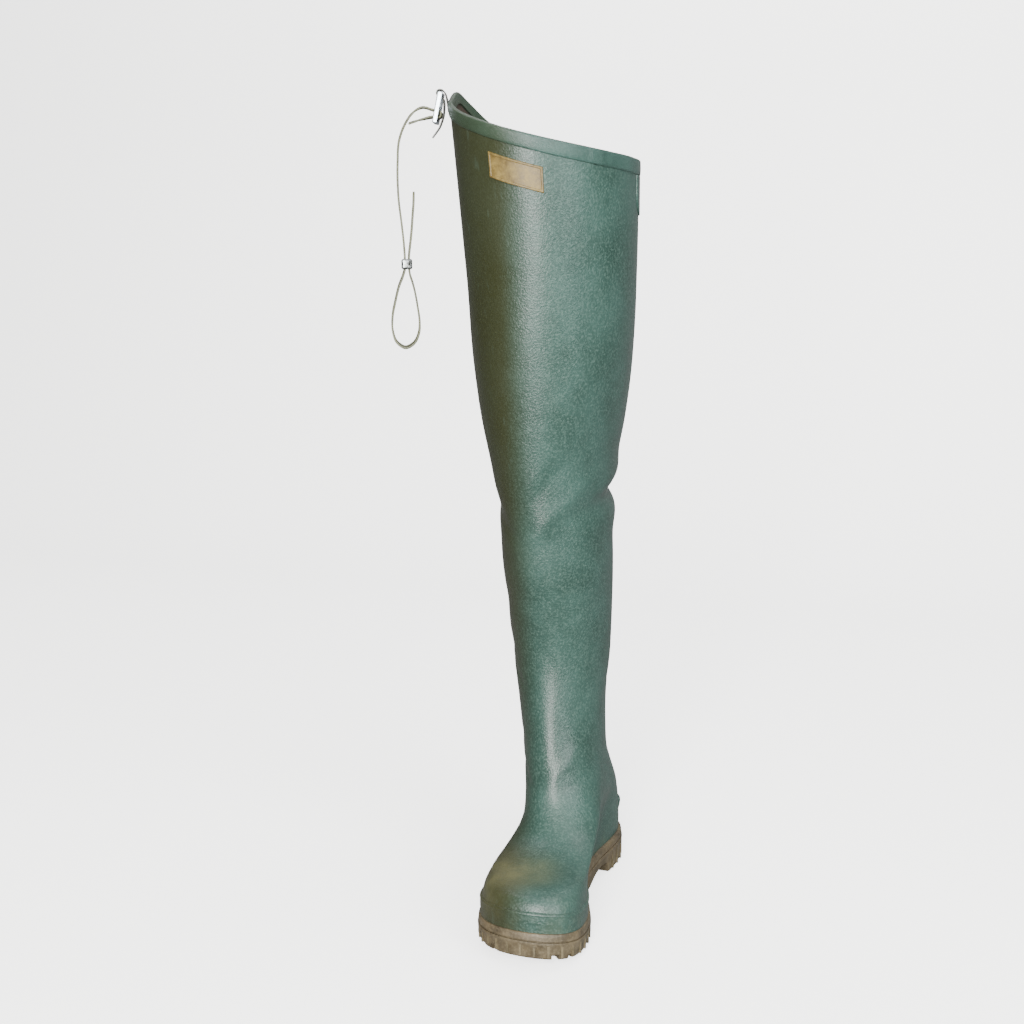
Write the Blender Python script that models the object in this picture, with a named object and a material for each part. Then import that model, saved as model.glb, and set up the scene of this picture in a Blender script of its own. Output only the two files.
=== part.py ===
# Right hip wader: rubber boot foot, thigh-high shaft, lugged sole and waist strap.
# Metres, +Z up. The toe points along -Y, the outer (lateral) side is -X and the
# inner (medial) side is +X. The origin is on the floor, under the heel's tread.
import math

import bmesh
import bpy
import numpy as np

# Driving sizes
SOLE_LENGTH = 0.306
BALL_WIDTH = 0.114
HEEL_SEAT = 0.036          # height of the sole's top at the heel
TOE_SPRING = 0.013
LEG_HEIGHT = 0.757         # floor to the collar on the inner side
PEAK_RISE = 0.069          # how far the outer peak stands over the collar
THIGH_WIDTH = 0.177
THIGH_DEPTH = 0.224
ANKLE_HEIGHT = 0.146
WALL = 0.0020
GAP = 0.0003
HEEL_OVERHANG = 0.036      # heel's rear edge behind the origin

# Sole
WELT_LEDGE = 0.0042        # sole's lip to the foot of the upper, in plan
WELT_BAND = 0.0078         # height of the strip over the groove
GROOVE = 0.0009
GROOVE_DEPTH = 0.0016
LUG_DEPTH = 0.0052
LUG_CHANNEL = 0.0074
LUG_PITCH = 0.0205
RIB_CUT = 0.0022
RIB_CUT_DEPTH = 0.0009
ARCH_RISE = 0.0125
INSOLE = 0.0035
LASTING_MARGIN = 0.012     # edge of the upper turned in under the foot

# Trim on the upper
TOE_BAND_HEIGHT = 0.0205
TOE_BAND = 0.0017
BAND_BEVEL = 0.0016
BINDING_WIDTH = 0.0130
BINDING = 0.0013
BINDING_LAP = 0.016
PATCH = 0.0013
PATCH_WIDTH = 0.044
PATCH_DROP = 0.052
TAB_WIDTH = 0.034
TAB_DROP = 0.060
PLATE_WIDTH = 0.054
PLATE_HEIGHT = 0.0230
PLATE_DROP = 0.026         # collar's level down to the plate's upper edge
PLATE = 0.0011
PLATE_RIM = 0.0022
SPUR_REACH = 0.0070
SPUR_HEIGHT = 0.0150
SPUR_STEPS = 3             # flats of the wall that it covers on each side
SPUR_SEAT = 0.0007         # it stands this far off the wall's true curve
SPUR_LEVEL = 0.0490

# Strap, hanger, buckle and stud
STRAP_WIDTH = 0.0120
STRAP = 0.0020
HANGER_WIDTH = 0.0110
HANGER = 0.0014
BUCKLE_HEIGHT = 0.0300
BUCKLE_DEPTH = 0.0200
BUCKLE_THICK = 0.0052
BUCKLE_RAIL = 0.0032
BUCKLE_BAR = 0.0030
BUCKLE_SOFT = 0.0005
BUCKLE_LEAN = math.radians(12)
STRAP_LEAN = 0.16
KEEPER_HEIGHT = 0.0100
KEEPER_INSIDE = 0.0080     # room for both runs of the strap
KEEPER_WALL = 0.0009
KEEPER_SLACK = 0.0008
KEEPER_AWAY = 0.0345       # left of the buckle's middle
VIEW_TURN = math.radians(16)   # the strap hangs in a plane turned this far from XZ

# Points around a ring of the upper, and of the sole
AROUND = 36
SOLE_AROUND = 80

UPPER_LENGTH = SOLE_LENGTH - 2 * WELT_LEDGE


def table(columns, *rows):
    names = columns.split()
    return {name: np.array([row[i] for row in rows], float) for i, name in enumerate(names)}


# Plan of the sole, right foot. along: share of the length from the heel's rear edge;
# outer, inner: half widths as shares of the ball width.
OUTLINE = table(
    "along outer inner",
    (0.000, 0.000, 0.000),
    (0.020, 0.190, 0.180),
    (0.060, 0.292, 0.282),
    (0.130, 0.345, 0.340),
    (0.220, 0.350, 0.330),
    (0.340, 0.358, 0.270),
    (0.450, 0.388, 0.250),
    (0.560, 0.440, 0.310),
    (0.660, 0.486, 0.431),
    (0.740, 0.492, 0.496),
    (0.820, 0.464, 0.524),
    (0.890, 0.390, 0.513),
    (0.945, 0.280, 0.450),
    (0.982, 0.132, 0.333),
    (1.000, -0.108, 0.108),
)

# Top of the sole, where the upper meets it, as a share of the heel seat
SEAT = table(
    "along height",
    (-0.05, 1.000), (0.00, 1.000), (0.25, 0.970), (0.45, 0.830), (0.60, 0.735),
    (0.75, 0.730), (0.88, 0.860), (1.00, 1.080), (1.05, 1.180),
)

# Underside of the sole as a share of the arch rise: heel, breast and shank
SHANK = table(
    "along rise",
    (-0.05, 0.0), (0.245, 0.0), (0.252, 0.92), (0.300, 1.00), (0.350, 0.72), (0.400, 0.16),
    (0.425, 0.0), (1.05, 0.0),
)

# Rings of the foot, from the sole's edge up to the ankle. front, back: shares of the
# upper's length; front_rise, back_rise: shares of the ankle height, over the sole's edge;
# plan: 1 follows the sole's plan, 0 is an ellipse; width: share of the plan's width;
# girth, aside: the ellipse's half width and its shift to the inner side, as shares of
# the ball width.
FOOT = table(
    "front back front_rise back_rise plan width girth aside",
    (1.000, 0.000, 0.000, 0.000, 1.00, 1.000, 0.470, 0.000),
    (0.995, -0.004, TOE_BAND_HEIGHT / ANKLE_HEIGHT, 0.075, 1.00, 1.000, 0.465, 0.000),
    (0.976, -0.008, 0.205, 0.130, 0.97, 0.985, 0.455, 0.000),
    (0.935, -0.010, 0.250, 0.195, 0.90, 0.955, 0.440, 0.000),
    (0.865, -0.008, 0.274, 0.260, 0.80, 0.920, 0.425, 0.005),
    (0.775, -0.003, 0.292, 0.330, 0.66, 0.880, 0.408, 0.005),
    (0.685, 0.006, 0.320, 0.410, 0.50, 0.840, 0.396, 0.000),
    (0.605, 0.020, 0.382, 0.500, 0.32, 0.805, 0.386, -0.020),
    (0.545, 0.036, 0.505, 0.610, 0.15, 0.785, 0.374, -0.058),
)

# Rings of the shaft. height: share of the leg height; ahead: centre in front of the
# heel's rear edge, as a share of the sole's length; aside: towards the inner side,
# and width, as shares of the thigh width; depth: share of the thigh depth.
SHAFT = table(
    "height ahead aside width depth",
    (0.193, 0.262, -0.078, 0.472, 0.612),
    (0.264, 0.218, -0.115, 0.505, 0.626),
    (0.330, 0.204, -0.130, 0.575, 0.628),
    (0.396, 0.220, -0.130, 0.606, 0.678),
    (0.462, 0.243, -0.130, 0.632, 0.745),
    (0.528, 0.255, -0.135, 0.634, 0.795),
    (0.594, 0.256, -0.144, 0.680, 0.885),
    (0.660, 0.268, -0.140, 0.795, 0.940),
    (0.727, 0.292, -0.132, 0.880, 0.950),
    (0.859, 0.338, -0.112, 0.945, 0.955),
    (1.000, 0.372, -0.118, 0.995, 1.000),
    (1.100, 0.400, -0.125, 1.030, 1.005),
)

# Collar line over the inner side, by the turn from the outer side towards the front
COLLAR = table(
    "turn rise",
    (-180, 0.000), (-150, 0.015), (-120, 0.060), (-90, 0.150), (-60, 0.330), (-30, 0.630),
    (-10, 0.900), (2, 1.000), (15, 0.870), (30, 0.750), (60, 0.510), (90, 0.290),
    (120, 0.130), (150, 0.035), (180, 0.000),
)

# Main folds of the shaft. turn: degrees from the heel side over the outer side;
# height, tall: shares of the leg height; spread: half width in degrees; slope: climb
# of the fold in leg heights over one full turn; depth: metres, minus is a ridge.
FOLDS = table(
    "turn height tall spread slope depth",
    (-62, 0.562, 0.014, 52, 0.10, 0.0080),
    (-58, 0.594, 0.020, 50, 0.10, -0.0030),
    (-58, 0.530, 0.020, 50, 0.10, -0.0030),
    (104, 0.562, 0.018, 32, -0.20, 0.0040),
    (80, 0.395, 0.016, 36, 0.15, 0.0030),
    (96, 0.352, 0.014, 30, -0.15, 0.0030),
)


def curve(knots, values, at):
    # Smooth cubic through the rows, with the slope of each row taken from its neighbours.
    at = np.clip(np.asarray(at, float), knots[0], knots[-1])
    slopes = np.gradient(values, knots)
    i = np.clip(np.searchsorted(knots, at, side="right") - 1, 0, len(knots) - 2)
    step = knots[i + 1] - knots[i]
    t = (at - knots[i]) / step
    return (
        (2 * t**3 - 3 * t**2 + 1) * values[i]
        + (t**3 - 2 * t**2 + t) * step * slopes[i]
        + (3 * t**2 - 2 * t**3) * values[i + 1]
        + (t**3 - t**2) * step * slopes[i + 1]
    )


def lines(knots, values, at):
    return np.interp(at, knots, values)


def ease(x):
    x = np.clip(x, 0.0, 1.0)
    return x * x * (3 - 2 * x)


def seat_height(ahead):
    # Top of the sole at a distance ahead of the heel's rear edge.
    return HEEL_SEAT * curve(SEAT["along"], SEAT["height"], np.asarray(ahead) / SOLE_LENGTH)


def tread_height(ahead):
    # Underside of the sole: flat heel, raised shank, flat forefoot and the toe's spring.
    along = np.asarray(ahead) / SOLE_LENGTH
    spring = TOE_SPRING * np.clip((along - 0.68) / 0.32, 0, 1.2) ** 2
    return ARCH_RISE * lines(SHANK["along"], SHANK["rise"], along) + spring


OUTLINE_TURN = np.arccos(1 - 2 * OUTLINE["along"])
CLOSED_TURN = np.concatenate([-OUTLINE_TURN[::-1], OUTLINE_TURN[1:]])
CLOSED_SIDE = np.concatenate([OUTLINE["inner"][::-1], -OUTLINE["outer"][1:]])
CLOSED_TURN = np.concatenate([CLOSED_TURN[-4:-1] - 2 * math.pi, CLOSED_TURN, CLOSED_TURN[1:4] + 2 * math.pi])
CLOSED_SIDE = np.concatenate([CLOSED_SIDE[-4:-1], CLOSED_SIDE, CLOSED_SIDE[1:4]])


def sole_plan(turn, inset=0.0):
    # Side and distance ahead on the sole's outline. turn is 0 at the heel's rear,
    # a quarter at the outer side and a half at the toe.
    turn = (np.asarray(turn, float) + math.pi) % (2 * math.pi) - math.pi

    def point(a):
        return BALL_WIDTH * curve(CLOSED_TURN, CLOSED_SIDE, a), SOLE_LENGTH * (1 - np.cos(a)) / 2

    side, ahead = point(turn)
    if np.any(inset):
        (side_a, ahead_a), (side_b, ahead_b) = point(turn - 0.01), point(turn + 0.01)
        run = np.hypot(side_b - side_a, ahead_b - ahead_a)
        side = side + inset * (ahead_b - ahead_a) / run
        ahead = ahead - inset * (side_b - side_a) / run
    return side, ahead


def place(side, ahead, height):
    return np.stack([side, HEEL_OVERHANG - ahead, height], axis=-1)


def ring_table():
    # Every ring of the upper in metres, by its station. On the shaft the station is the
    # height; on the foot it counts back down from the ankle along the instep.
    rows = []
    for i in range(len(FOOT["front"])):
        foot = {name: FOOT[name][i] for name in FOOT}
        front = WELT_LEDGE + UPPER_LENGTH * foot["front"]
        back = WELT_LEDGE + UPPER_LENGTH * foot["back"]
        rows.append({
            "front": front,
            "back": back,
            "front_rise": ANKLE_HEIGHT * foot["front_rise"],
            "back_rise": ANKLE_HEIGHT * foot["back_rise"],
            "plan": foot["plan"],
            "width": foot["width"],
            "girth": BALL_WIDTH * foot["girth"],
            "aside": BALL_WIDTH * foot["aside"],
            "front_height": float(seat_height(front)) + ANKLE_HEIGHT * foot["front_rise"],
        })
    for i in range(len(SHAFT["height"])):
        shaft = {name: SHAFT[name][i] for name in SHAFT}
        height = LEG_HEIGHT * shaft["height"]
        centre = SOLE_LENGTH * shaft["ahead"]
        half = THIGH_DEPTH * shaft["depth"] / 2
        rows.append({
            "front": centre + half,
            "back": centre - half,
            "front_rise": height - float(seat_height(centre + half)),
            "back_rise": height - float(seat_height(centre - half)),
            "plan": 0.0,
            "width": FOOT["width"][-1],
            "girth": THIGH_WIDTH * shaft["width"] / 2,
            "aside": THIGH_WIDTH * shaft["aside"],
            "front_height": height,
        })
    first = len(FOOT["front"])
    stations = [row["front_height"] for row in rows]
    for i in range(first - 1, -1, -1):
        here, above = rows[i], rows[i + 1]
        run = math.hypot(above["front"] - here["front"], above["front_height"] - here["front_height"])
        stations[i] = stations[i + 1] - run
    rings = {name: np.array([row[name] for row in rows]) for name in rows[0]}
    rings["station"] = np.array(stations)
    return rings


RINGS = ring_table()
FOOT_RINGS = len(FOOT["front"])
BAND_STATION = RINGS["station"][1]
LOWEST_STATION = RINGS["station"][0]
CROWN_START = 0.80 * LEG_HEIGHT      # the rings start to climb to the outer peak here
TOP_FLAT = 0.92                      # share of the leg height where the wall's top flats start


def collar_rise(turn):
    front_turn = np.degrees((np.asarray(turn) - math.pi / 2 + math.pi) % (2 * math.pi) - math.pi)
    return PEAK_RISE * curve(COLLAR["turn"], COLLAR["rise"], front_turn)


def bare_upper(turn, station):
    # Outer face of the upper without folds or bands.
    turn = np.asarray(turn, float)
    station = np.asarray(station, float) + 0 * turn
    climb = ease((station - CROWN_START) / (LEG_HEIGHT - CROWN_START))
    at = station + climb * collar_rise(turn)
    value = {name: curve(RINGS["station"], RINGS[name], at) for name in RINGS if name != "station"}
    plan_side, plan_ahead = sole_plan(turn, WELT_LEDGE)
    plan_share = (plan_ahead - WELT_LEDGE) / UPPER_LENGTH
    oval_share = (1 - np.cos(turn)) / 2
    share = value["plan"] * plan_share + (1 - value["plan"]) * oval_share
    ahead = value["back"] + (value["front"] - value["back"]) * share
    side = (
        value["aside"]
        + value["plan"] * value["width"] * plan_side
        - (1 - value["plan"]) * value["girth"] * np.sin(turn)
    )
    # Low rings keep near the sole along the sides and rise towards the toe or the heel.
    rise = value["back_rise"] + (value["front_rise"] - value["back_rise"]) * share**1.5
    on_foot = seat_height(ahead) + rise
    back_height = seat_height(value["back"]) + value["back_rise"]
    tilted = back_height + (value["front_height"] - back_height) * share
    height = np.where(at < ANKLE_HEIGHT, value["plan"] * on_foot + (1 - value["plan"]) * tilted, at)
    return place(side, ahead, height)


def facing(surface, turn, station):
    # Outward direction of a surface, by differences.
    step = 0.002
    around = surface(turn + step, station) - surface(turn - step, station)
    up = surface(turn, station + step) - surface(turn, station - step)
    out = np.cross(around, up)
    return out / np.linalg.norm(out, axis=-1, keepdims=True)


def fold_depth(turn, station):
    total = np.zeros(np.shape(turn))
    for i in range(len(FOLDS["turn"])):
        fold = {name: FOLDS[name][i] for name in FOLDS}
        off = np.degrees((turn - math.radians(fold["turn"]) + math.pi) % (2 * math.pi) - math.pi)
        middle = fold["height"] + fold["slope"] * off / 360
        across = (station / LEG_HEIGHT - middle) / fold["tall"]
        total += fold["depth"] * np.exp(-across**2 - (off / fold["spread"]) ** 2)
    return total


def upper_face(turn, station, out=0.0):
    # Outer face of the upper with its folds, moved outwards by out.
    turn = np.asarray(turn, float)
    station = np.asarray(station, float) + 0 * turn
    normal = facing(bare_upper, turn, station)
    return bare_upper(turn, station) + normal * (out - fold_depth(turn, station))[..., None]


def toe_band(turn):
    # The band round the toe, at full thickness in front and gone at the waist.
    ahead = (1 - np.cos(turn)) / 2
    return TOE_BAND * ease((ahead - 0.42) / 0.25)


def turns(count):
    return np.arange(count) * 2 * math.pi / count


def make_object(name, points, faces, material, smooth_angle=35):
    mesh = bpy.data.meshes.new(name)
    mesh.from_pydata([tuple(float(c) for c in p) for p in points], [], faces)
    work = bmesh.new()
    work.from_mesh(mesh)
    bmesh.ops.recalc_face_normals(work, faces=work.faces)
    work.to_mesh(mesh)
    work.free()
    mesh.shade_smooth()
    mesh.set_sharp_from_angle(angle=math.radians(smooth_angle))
    mesh.materials.append(material)
    part = bpy.data.objects.new(name, mesh)
    bpy.context.scene.collection.objects.link(part)
    return part


def loft(rings, close_rings=False, caps=False):
    # Rings of equally many points, joined by quads. Caps close the first and last ring.
    count = len(rings[0])
    points = np.concatenate(rings)
    faces = []
    last = len(rings) if close_rings else len(rings) - 1
    for r in range(last):
        a, b = r * count, ((r + 1) % len(rings)) * count
        for i in range(count):
            j = (i + 1) % count
            faces.append((a + i, a + j, b + j, b + i))
    if caps:
        faces.append(tuple(range(count)))
        faces.append(tuple(range(len(points) - count, len(points))))
    return points, faces


def ladder(first, count, faces):
    # Closes a ring whose points pair off across the foot, rung by rung.
    half = count // 2
    for i in range(half):
        a, b = first + i, first + i + 1
        c, d = first + (count - i - 1) % count, first + (count - i) % count
        faces.append((a, b, c) if a == d else (d, a, b) if b == c else (a, b, c, d))


def material(name, color, roughness, metallic=0.0):
    finish = bpy.data.materials.new(name)
    finish.use_nodes = True
    shader = finish.node_tree.nodes["Principled BSDF"]
    shader.inputs["Base Color"].default_value = (*color, 1)
    shader.inputs["Roughness"].default_value = roughness
    shader.inputs["Metallic"].default_value = metallic
    return finish


def build_upper(finish):
    # One wall from the collar down to the sole, turned in under the foot, and up inside.
    turn = turns(AROUND)
    foot = RINGS["station"][: FOOT_RINGS + 1]
    stations = [BAND_STATION]
    for i in range(1, FOOT_RINGS):
        stations += [(foot[i] + foot[i + 1]) / 2, foot[i + 1]]
    levels = (
        [0.227, 0.265, 0.300, 0.332, 0.352, 0.372, 0.395, 0.425, 0.465, 0.500]
        + [0.527, 0.545, 0.562, 0.578, 0.598, 0.635, 0.685, 0.760, 0.840, TOP_FLAT, 1.000]
    )
    stations += [LEG_HEIGHT * level for level in levels]
    band = toe_band(turn)
    outer = [upper_face(turn, LOWEST_STATION, band)]
    outer[0][:, 2] = seat_height(HEEL_OVERHANG - outer[0][:, 1]) + GAP
    below = BAND_STATION - BAND_BEVEL
    outer.append(upper_face(turn, below, band))
    outer += [upper_face(turn, station) for station in stations]
    inner = [upper_face(turn, station, -WALL) for station in stations]
    side, ahead = sole_plan(turn, WELT_LEDGE + LASTING_MARGIN)
    edge_low = place(side, ahead, seat_height(ahead) + GAP)
    edge_high = place(side, ahead, seat_height(ahead) + GAP + WALL)
    side, ahead = sole_plan(turn, WELT_LEDGE + WALL)
    corner = place(side, ahead, seat_height(ahead) + GAP + WALL)
    rings = outer[::-1] + [edge_low, edge_high, corner] + inner
    points, faces = loft(rings, close_rings=True)
    return make_object("upper", points, faces, finish)


def build_insole(finish):
    turn = turns(AROUND)
    lift = 2 * GAP + WALL
    rings = []
    for inset, height in ((0.0008, 0.0), (0.0, 0.0008), (0.0, INSOLE - 0.0008), (0.0008, INSOLE)):
        side, ahead = sole_plan(turn, WELT_LEDGE + WALL + 3 * GAP + inset)
        rings.append(place(side, ahead, seat_height(ahead) + lift + height))
    points, faces = loft(rings)
    ladder(0, AROUND, faces)
    ladder(3 * AROUND, AROUND, faces)
    return make_object("insole", points, faces, finish)


def prism(work, corners, low, high):
    # Adds an upright prism over the plan corners, a list of side and ahead pairs.
    bottom = [work.verts.new((side, HEEL_OVERHANG - ahead, low)) for side, ahead in corners]
    top = [work.verts.new((side, HEEL_OVERHANG - ahead, high)) for side, ahead in corners]
    count = len(corners)
    for i in range(count):
        j = (i + 1) % count
        work.faces.new((bottom[i], bottom[j], top[j], top[i]))
    work.faces.new(bottom[::-1])
    work.faces.new(top)


def edge_frame(turn):
    # A point of the sole's outline with its inward and forward directions in plan.
    side, ahead = sole_plan(turn)
    inner_side, inner_ahead = sole_plan(turn, 0.001)
    inward = np.array([inner_side - side, inner_ahead - ahead]) / 0.001
    return np.array([side, ahead]), inward, np.array([-inward[1], inward[0]])


def turn_at(along, inner_side):
    turn = math.acos(1 - 2 * along)
    return -turn if inner_side else turn


def add_channels(work):
    # Channels across the tread, with a notch in the sole's side at each end.
    forefoot = [0.455 + i * LUG_PITCH / SOLE_LENGTH for i in range(6)]
    heel = [0.072, 0.072 + LUG_PITCH / SOLE_LENGTH, 0.072 + 2 * LUG_PITCH / SOLE_LENGTH]
    for along in heel + forefoot:
        ahead = along * SOLE_LENGTH
        outer, _ = sole_plan(turn_at(along, False))
        inner, _ = sole_plan(turn_at(along, True))
        middle, half, bend = (outer + inner) / 2, LUG_CHANNEL / 2, 0.006
        reach = 0.004
        corners = [
            (outer - reach, ahead - half), (middle, ahead - half + bend), (inner + reach, ahead - half),
            (inner + reach, ahead + half), (middle, ahead + half + bend), (outer - reach, ahead + half),
        ]
        top = float(tread_height(ahead)) + LUG_DEPTH
        prism(work, corners, -0.01, top)
    # Notches round the toe point at the middle of the ball.
    for along in (0.868, 0.925, 0.972):
        for inner_side in (False, True):
            add_notch(work, turn_at(along, inner_side), 0.015, LUG_CHANNEL)


def add_notch(work, turn, reach, width):
    spot, inward, forward = edge_frame(turn)
    start, end = spot - inward * 0.004, spot + inward * reach
    corners = [tuple(start - forward * width / 2), tuple(end - forward * width / 2)]
    corners += [tuple(end + forward * width / 2), tuple(start + forward * width / 2)]
    prism(work, corners, -0.01, float(tread_height(spot[1])) + LUG_DEPTH)


def add_rib_cuts(work):
    # Shallow upright cuts in the side of the sole, which leave ribs between them.
    fine = np.linspace(0, 2 * math.pi, 721)
    side, ahead = sole_plan(fine)
    run = np.concatenate([[0], np.cumsum(np.hypot(np.diff(side), np.diff(ahead)))])
    count = int(run[-1] / (LUG_PITCH * 0.75))
    for k in range(count):
        turn = float(np.interp((k + 0.5) * run[-1] / count, run, fine))
        spot, inward, forward = edge_frame(turn)
        if 0.23 < spot[1] / SOLE_LENGTH < 0.44:
            continue
        start, end = spot - inward * 0.004, spot + inward * (RIB_CUT_DEPTH + 0.0012)
        corners = [tuple(start - forward * RIB_CUT / 2), tuple(end - forward * RIB_CUT / 2)]
        corners += [tuple(end + forward * RIB_CUT / 2), tuple(start + forward * RIB_CUT / 2)]
        high = float(seat_height(spot[1])) - WELT_BAND - GROOVE - 0.0035
        prism(work, corners, float(tread_height(spot[1])) + LUG_DEPTH + 0.0016, high)


def cutter(name, fill):
    mesh = bpy.data.meshes.new(name)
    work = bmesh.new()
    fill(work)
    bmesh.ops.recalc_face_normals(work, faces=work.faces)
    work.to_mesh(mesh)
    work.free()
    tool = bpy.data.objects.new(name, mesh)
    bpy.context.scene.collection.objects.link(tool)
    tool.hide_render = True
    tool.display_type = "WIRE"
    return tool


def build_outsole(finish):
    # Side of the sole from the tread up: tapered side, lip, groove and sloped welt strip.
    turn = turns(SOLE_AROUND)
    groove_top = WELT_BAND
    groove_low = WELT_BAND + GROOVE
    steps = (
        (0.0030, "tread", 0.0), (0.0019, "tread", 0.0016), (0.0003, "seat", -groove_low - 0.0030),
        (0.0000, "seat", -groove_low), (GROOVE_DEPTH, "seat", -groove_low + 0.0002),
        (GROOVE_DEPTH, "seat", -groove_top - 0.0002), (0.0005, "seat", -groove_top),
        (0.0012, "seat", -0.0012), (0.0022, "seat", 0.0),
    )
    rings = []
    for inset, base, lift in steps:
        side, ahead = sole_plan(turn, inset)
        level = tread_height(ahead) if base == "tread" else seat_height(ahead)
        rings.append(place(side, ahead, level + lift))
    points, faces = loft(rings)
    ladder(0, SOLE_AROUND, faces)
    ladder((len(steps) - 1) * SOLE_AROUND, SOLE_AROUND, faces)
    sole = make_object("outsole", points, faces, finish)
    for name, fill in (("tread_channels", add_channels), ("rib_cuts", add_rib_cuts)):
        cut = sole.modifiers.new(name, "BOOLEAN")
        cut.operation = "DIFFERENCE"
        cut.solver = "EXACT"
        cut.object = cutter(name, fill)
    return sole


def collar_point(turn, drop, out):
    # A point over the wall's top flats, a drop below the collar's edge.
    place_on_ring = (np.asarray(turn, float) % (2 * math.pi)) * AROUND / (2 * math.pi)
    before = np.floor(place_on_ring + 1e-9)
    share = (place_on_ring - before)[..., None]

    def corner(index):
        at = index * 2 * math.pi / AROUND
        top = upper_face(at, LEG_HEIGHT, out)
        low = upper_face(at, LEG_HEIGHT * TOP_FLAT, out)
        fall = drop / np.linalg.norm(top - low, axis=-1, keepdims=True)
        return top + (low - top) * fall

    return corner(before) * (1 - share) + corner(before + 1) * share


def build_binding(finish):
    # A rounded rubber strip folded over the collar's edge, lapped where its ends join.
    # Its points share the upper's turns, so that its flats lie along the wall's.
    turn = turns(AROUND)
    lap_middle, lap_half = math.radians(232), BINDING_LAP / THIGH_WIDTH
    off = np.abs((turn - lap_middle + math.pi) % (2 * math.pi) - math.pi)
    lap = np.where(off < lap_half, 0.0007, 0.0)
    rings = []
    outside, inside = GAP + BINDING, -WALL - GAP - BINDING
    section = (
        (BINDING_WIDTH, GAP), (BINDING_WIDTH, outside * 0.7), (BINDING_WIDTH - 0.0015, outside),
        (0.0005, outside), (-0.0012, outside * 0.55), (-0.0019, -WALL / 2),
        (-0.0012, inside * 0.75), (0.0005, inside), (BINDING_WIDTH - 0.001, inside),
        (BINDING_WIDTH, -WALL - GAP), (-GAP, -WALL - GAP), (-GAP, GAP),
    )
    for drop, out in section:
        proud = lap if out > GAP else 0 * lap
        ring = collar_point(turn, max(drop, 0.0), out + proud)
        ring[:, 2] -= min(drop, 0.0)
        rings.append(ring)
    points, faces = loft(rings, close_rings=True)
    return make_object("collar_binding", points, faces, finish)


def shaft_radius(turn):
    # Length of wall per radian near the collar.
    turn = np.asarray(turn, float)
    a = collar_point(turn - 0.01, 0.02, 0.0)
    b = collar_point(turn + 0.01, 0.02, 0.0)
    return float(np.linalg.norm(b - a)) / 0.02


def patch_mesh(middle, width, low, high, thick, tongue, columns=9, rows=9):
    # A rubber piece on the shaft's wall. low, high: drops below the collar's edge.
    # A tongue has a round lower end, other pieces are square.
    radius = shaft_radius(middle)
    front, back = [], []
    for r in range(rows):
        share = r / (rows - 1)
        drop = low + (high - low) * (1 - share) if not tongue else None
        if tongue:
            angle = share * math.pi / 2
            straight = high - width / 2
            drop = low + (straight - low) * share / 0.5 if share < 0.5 else None
            if drop is None:
                angle = (share - 0.5) / 0.5 * math.pi / 2 * 0.93
                drop = straight + width / 2 * math.sin(angle)
                half = width / 2 * math.cos(angle)
            else:
                half = width / 2
        else:
            half = width / 2
        for c in range(columns):
            across = (2 * c / (columns - 1) - 1) * half
            turn = middle + across / radius
            front.append(collar_point(turn, drop, GAP + thick))
            back.append(collar_point(turn, drop, GAP))
    faces = []
    size = rows * columns
    for r in range(rows - 1):
        for c in range(columns - 1):
            a = r * columns + c
            quad = (a, a + 1, a + columns + 1, a + columns)
            faces.append(quad)
            faces.append(tuple(size + i for i in reversed(quad)))
    rim = [c for c in range(columns)]
    rim += [r * columns + columns - 1 for r in range(1, rows)]
    rim += [(rows - 1) * columns + c for c in range(columns - 2, -1, -1)]
    rim += [r * columns for r in range(rows - 2, 0, -1)]
    for i in range(len(rim)):
        a, b = rim[i], rim[(i + 1) % len(rim)]
        faces.append((a, b, size + b, size + a))
    return np.array(front + back), faces


def build_patches(finish):
    made = []
    low = BINDING_WIDTH + 2 * GAP
    points, faces = patch_mesh(math.radians(286), PATCH_WIDTH, low, PATCH_DROP, PATCH, True)
    made.append(make_object("inner_patch", points, faces, finish))
    points, faces = patch_mesh(math.radians(96), TAB_WIDTH, low, TAB_DROP, PATCH, True)
    made.append(make_object("outer_patch", points, faces, finish))
    return made


def build_plate(finish):
    # Blank name plate with a raised rim, bent to the front of the shaft.
    middle = math.radians(182)
    radius = shaft_radius(middle)
    top = PLATE_DROP
    xs = np.linspace(-0.5, 0.5, 11) * (PLATE_WIDTH - 2 * PLATE_RIM)
    across = np.concatenate([[-PLATE_WIDTH / 2], [xs[0] - 0.0004], xs, [xs[-1] + 0.0004], [PLATE_WIDTH / 2]])
    inner_low, inner_high = top + PLATE_HEIGHT - PLATE_RIM, top + PLATE_RIM
    drops = np.array([top + PLATE_HEIGHT, inner_low + 0.0004, inner_low, inner_high, inner_high - 0.0004, top])
    raised = 0.0007
    front, back = [], []
    for r, drop in enumerate(drops):
        for c, offset in enumerate(across):
            field = 2 <= r <= len(drops) - 3 and 2 <= c <= len(across) - 3
            turn = middle + offset / radius
            front.append(collar_point(turn, drop, GAP + PLATE + (0 if field else raised)))
            back.append(collar_point(turn, drop, GAP))
    rows, columns, size = len(drops), len(across), len(front)
    faces = []
    for r in range(rows - 1):
        for c in range(columns - 1):
            a = r * columns + c
            quad = (a, a + 1, a + columns + 1, a + columns)
            faces.append(quad)
            faces.append(tuple(size + i for i in reversed(quad)))
    rim = [c for c in range(columns)] + [r * columns + columns - 1 for r in range(1, rows)]
    rim += [(rows - 1) * columns + c for c in range(columns - 2, -1, -1)]
    rim += [r * columns for r in range(rows - 2, 0, -1)]
    for i in range(len(rim)):
        a, b = rim[i], rim[(i + 1) % len(rim)]
        faces.append((a, b, size + b, size + a))
    return make_object("name_plate", np.array(front + back), faces, finish)


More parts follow.
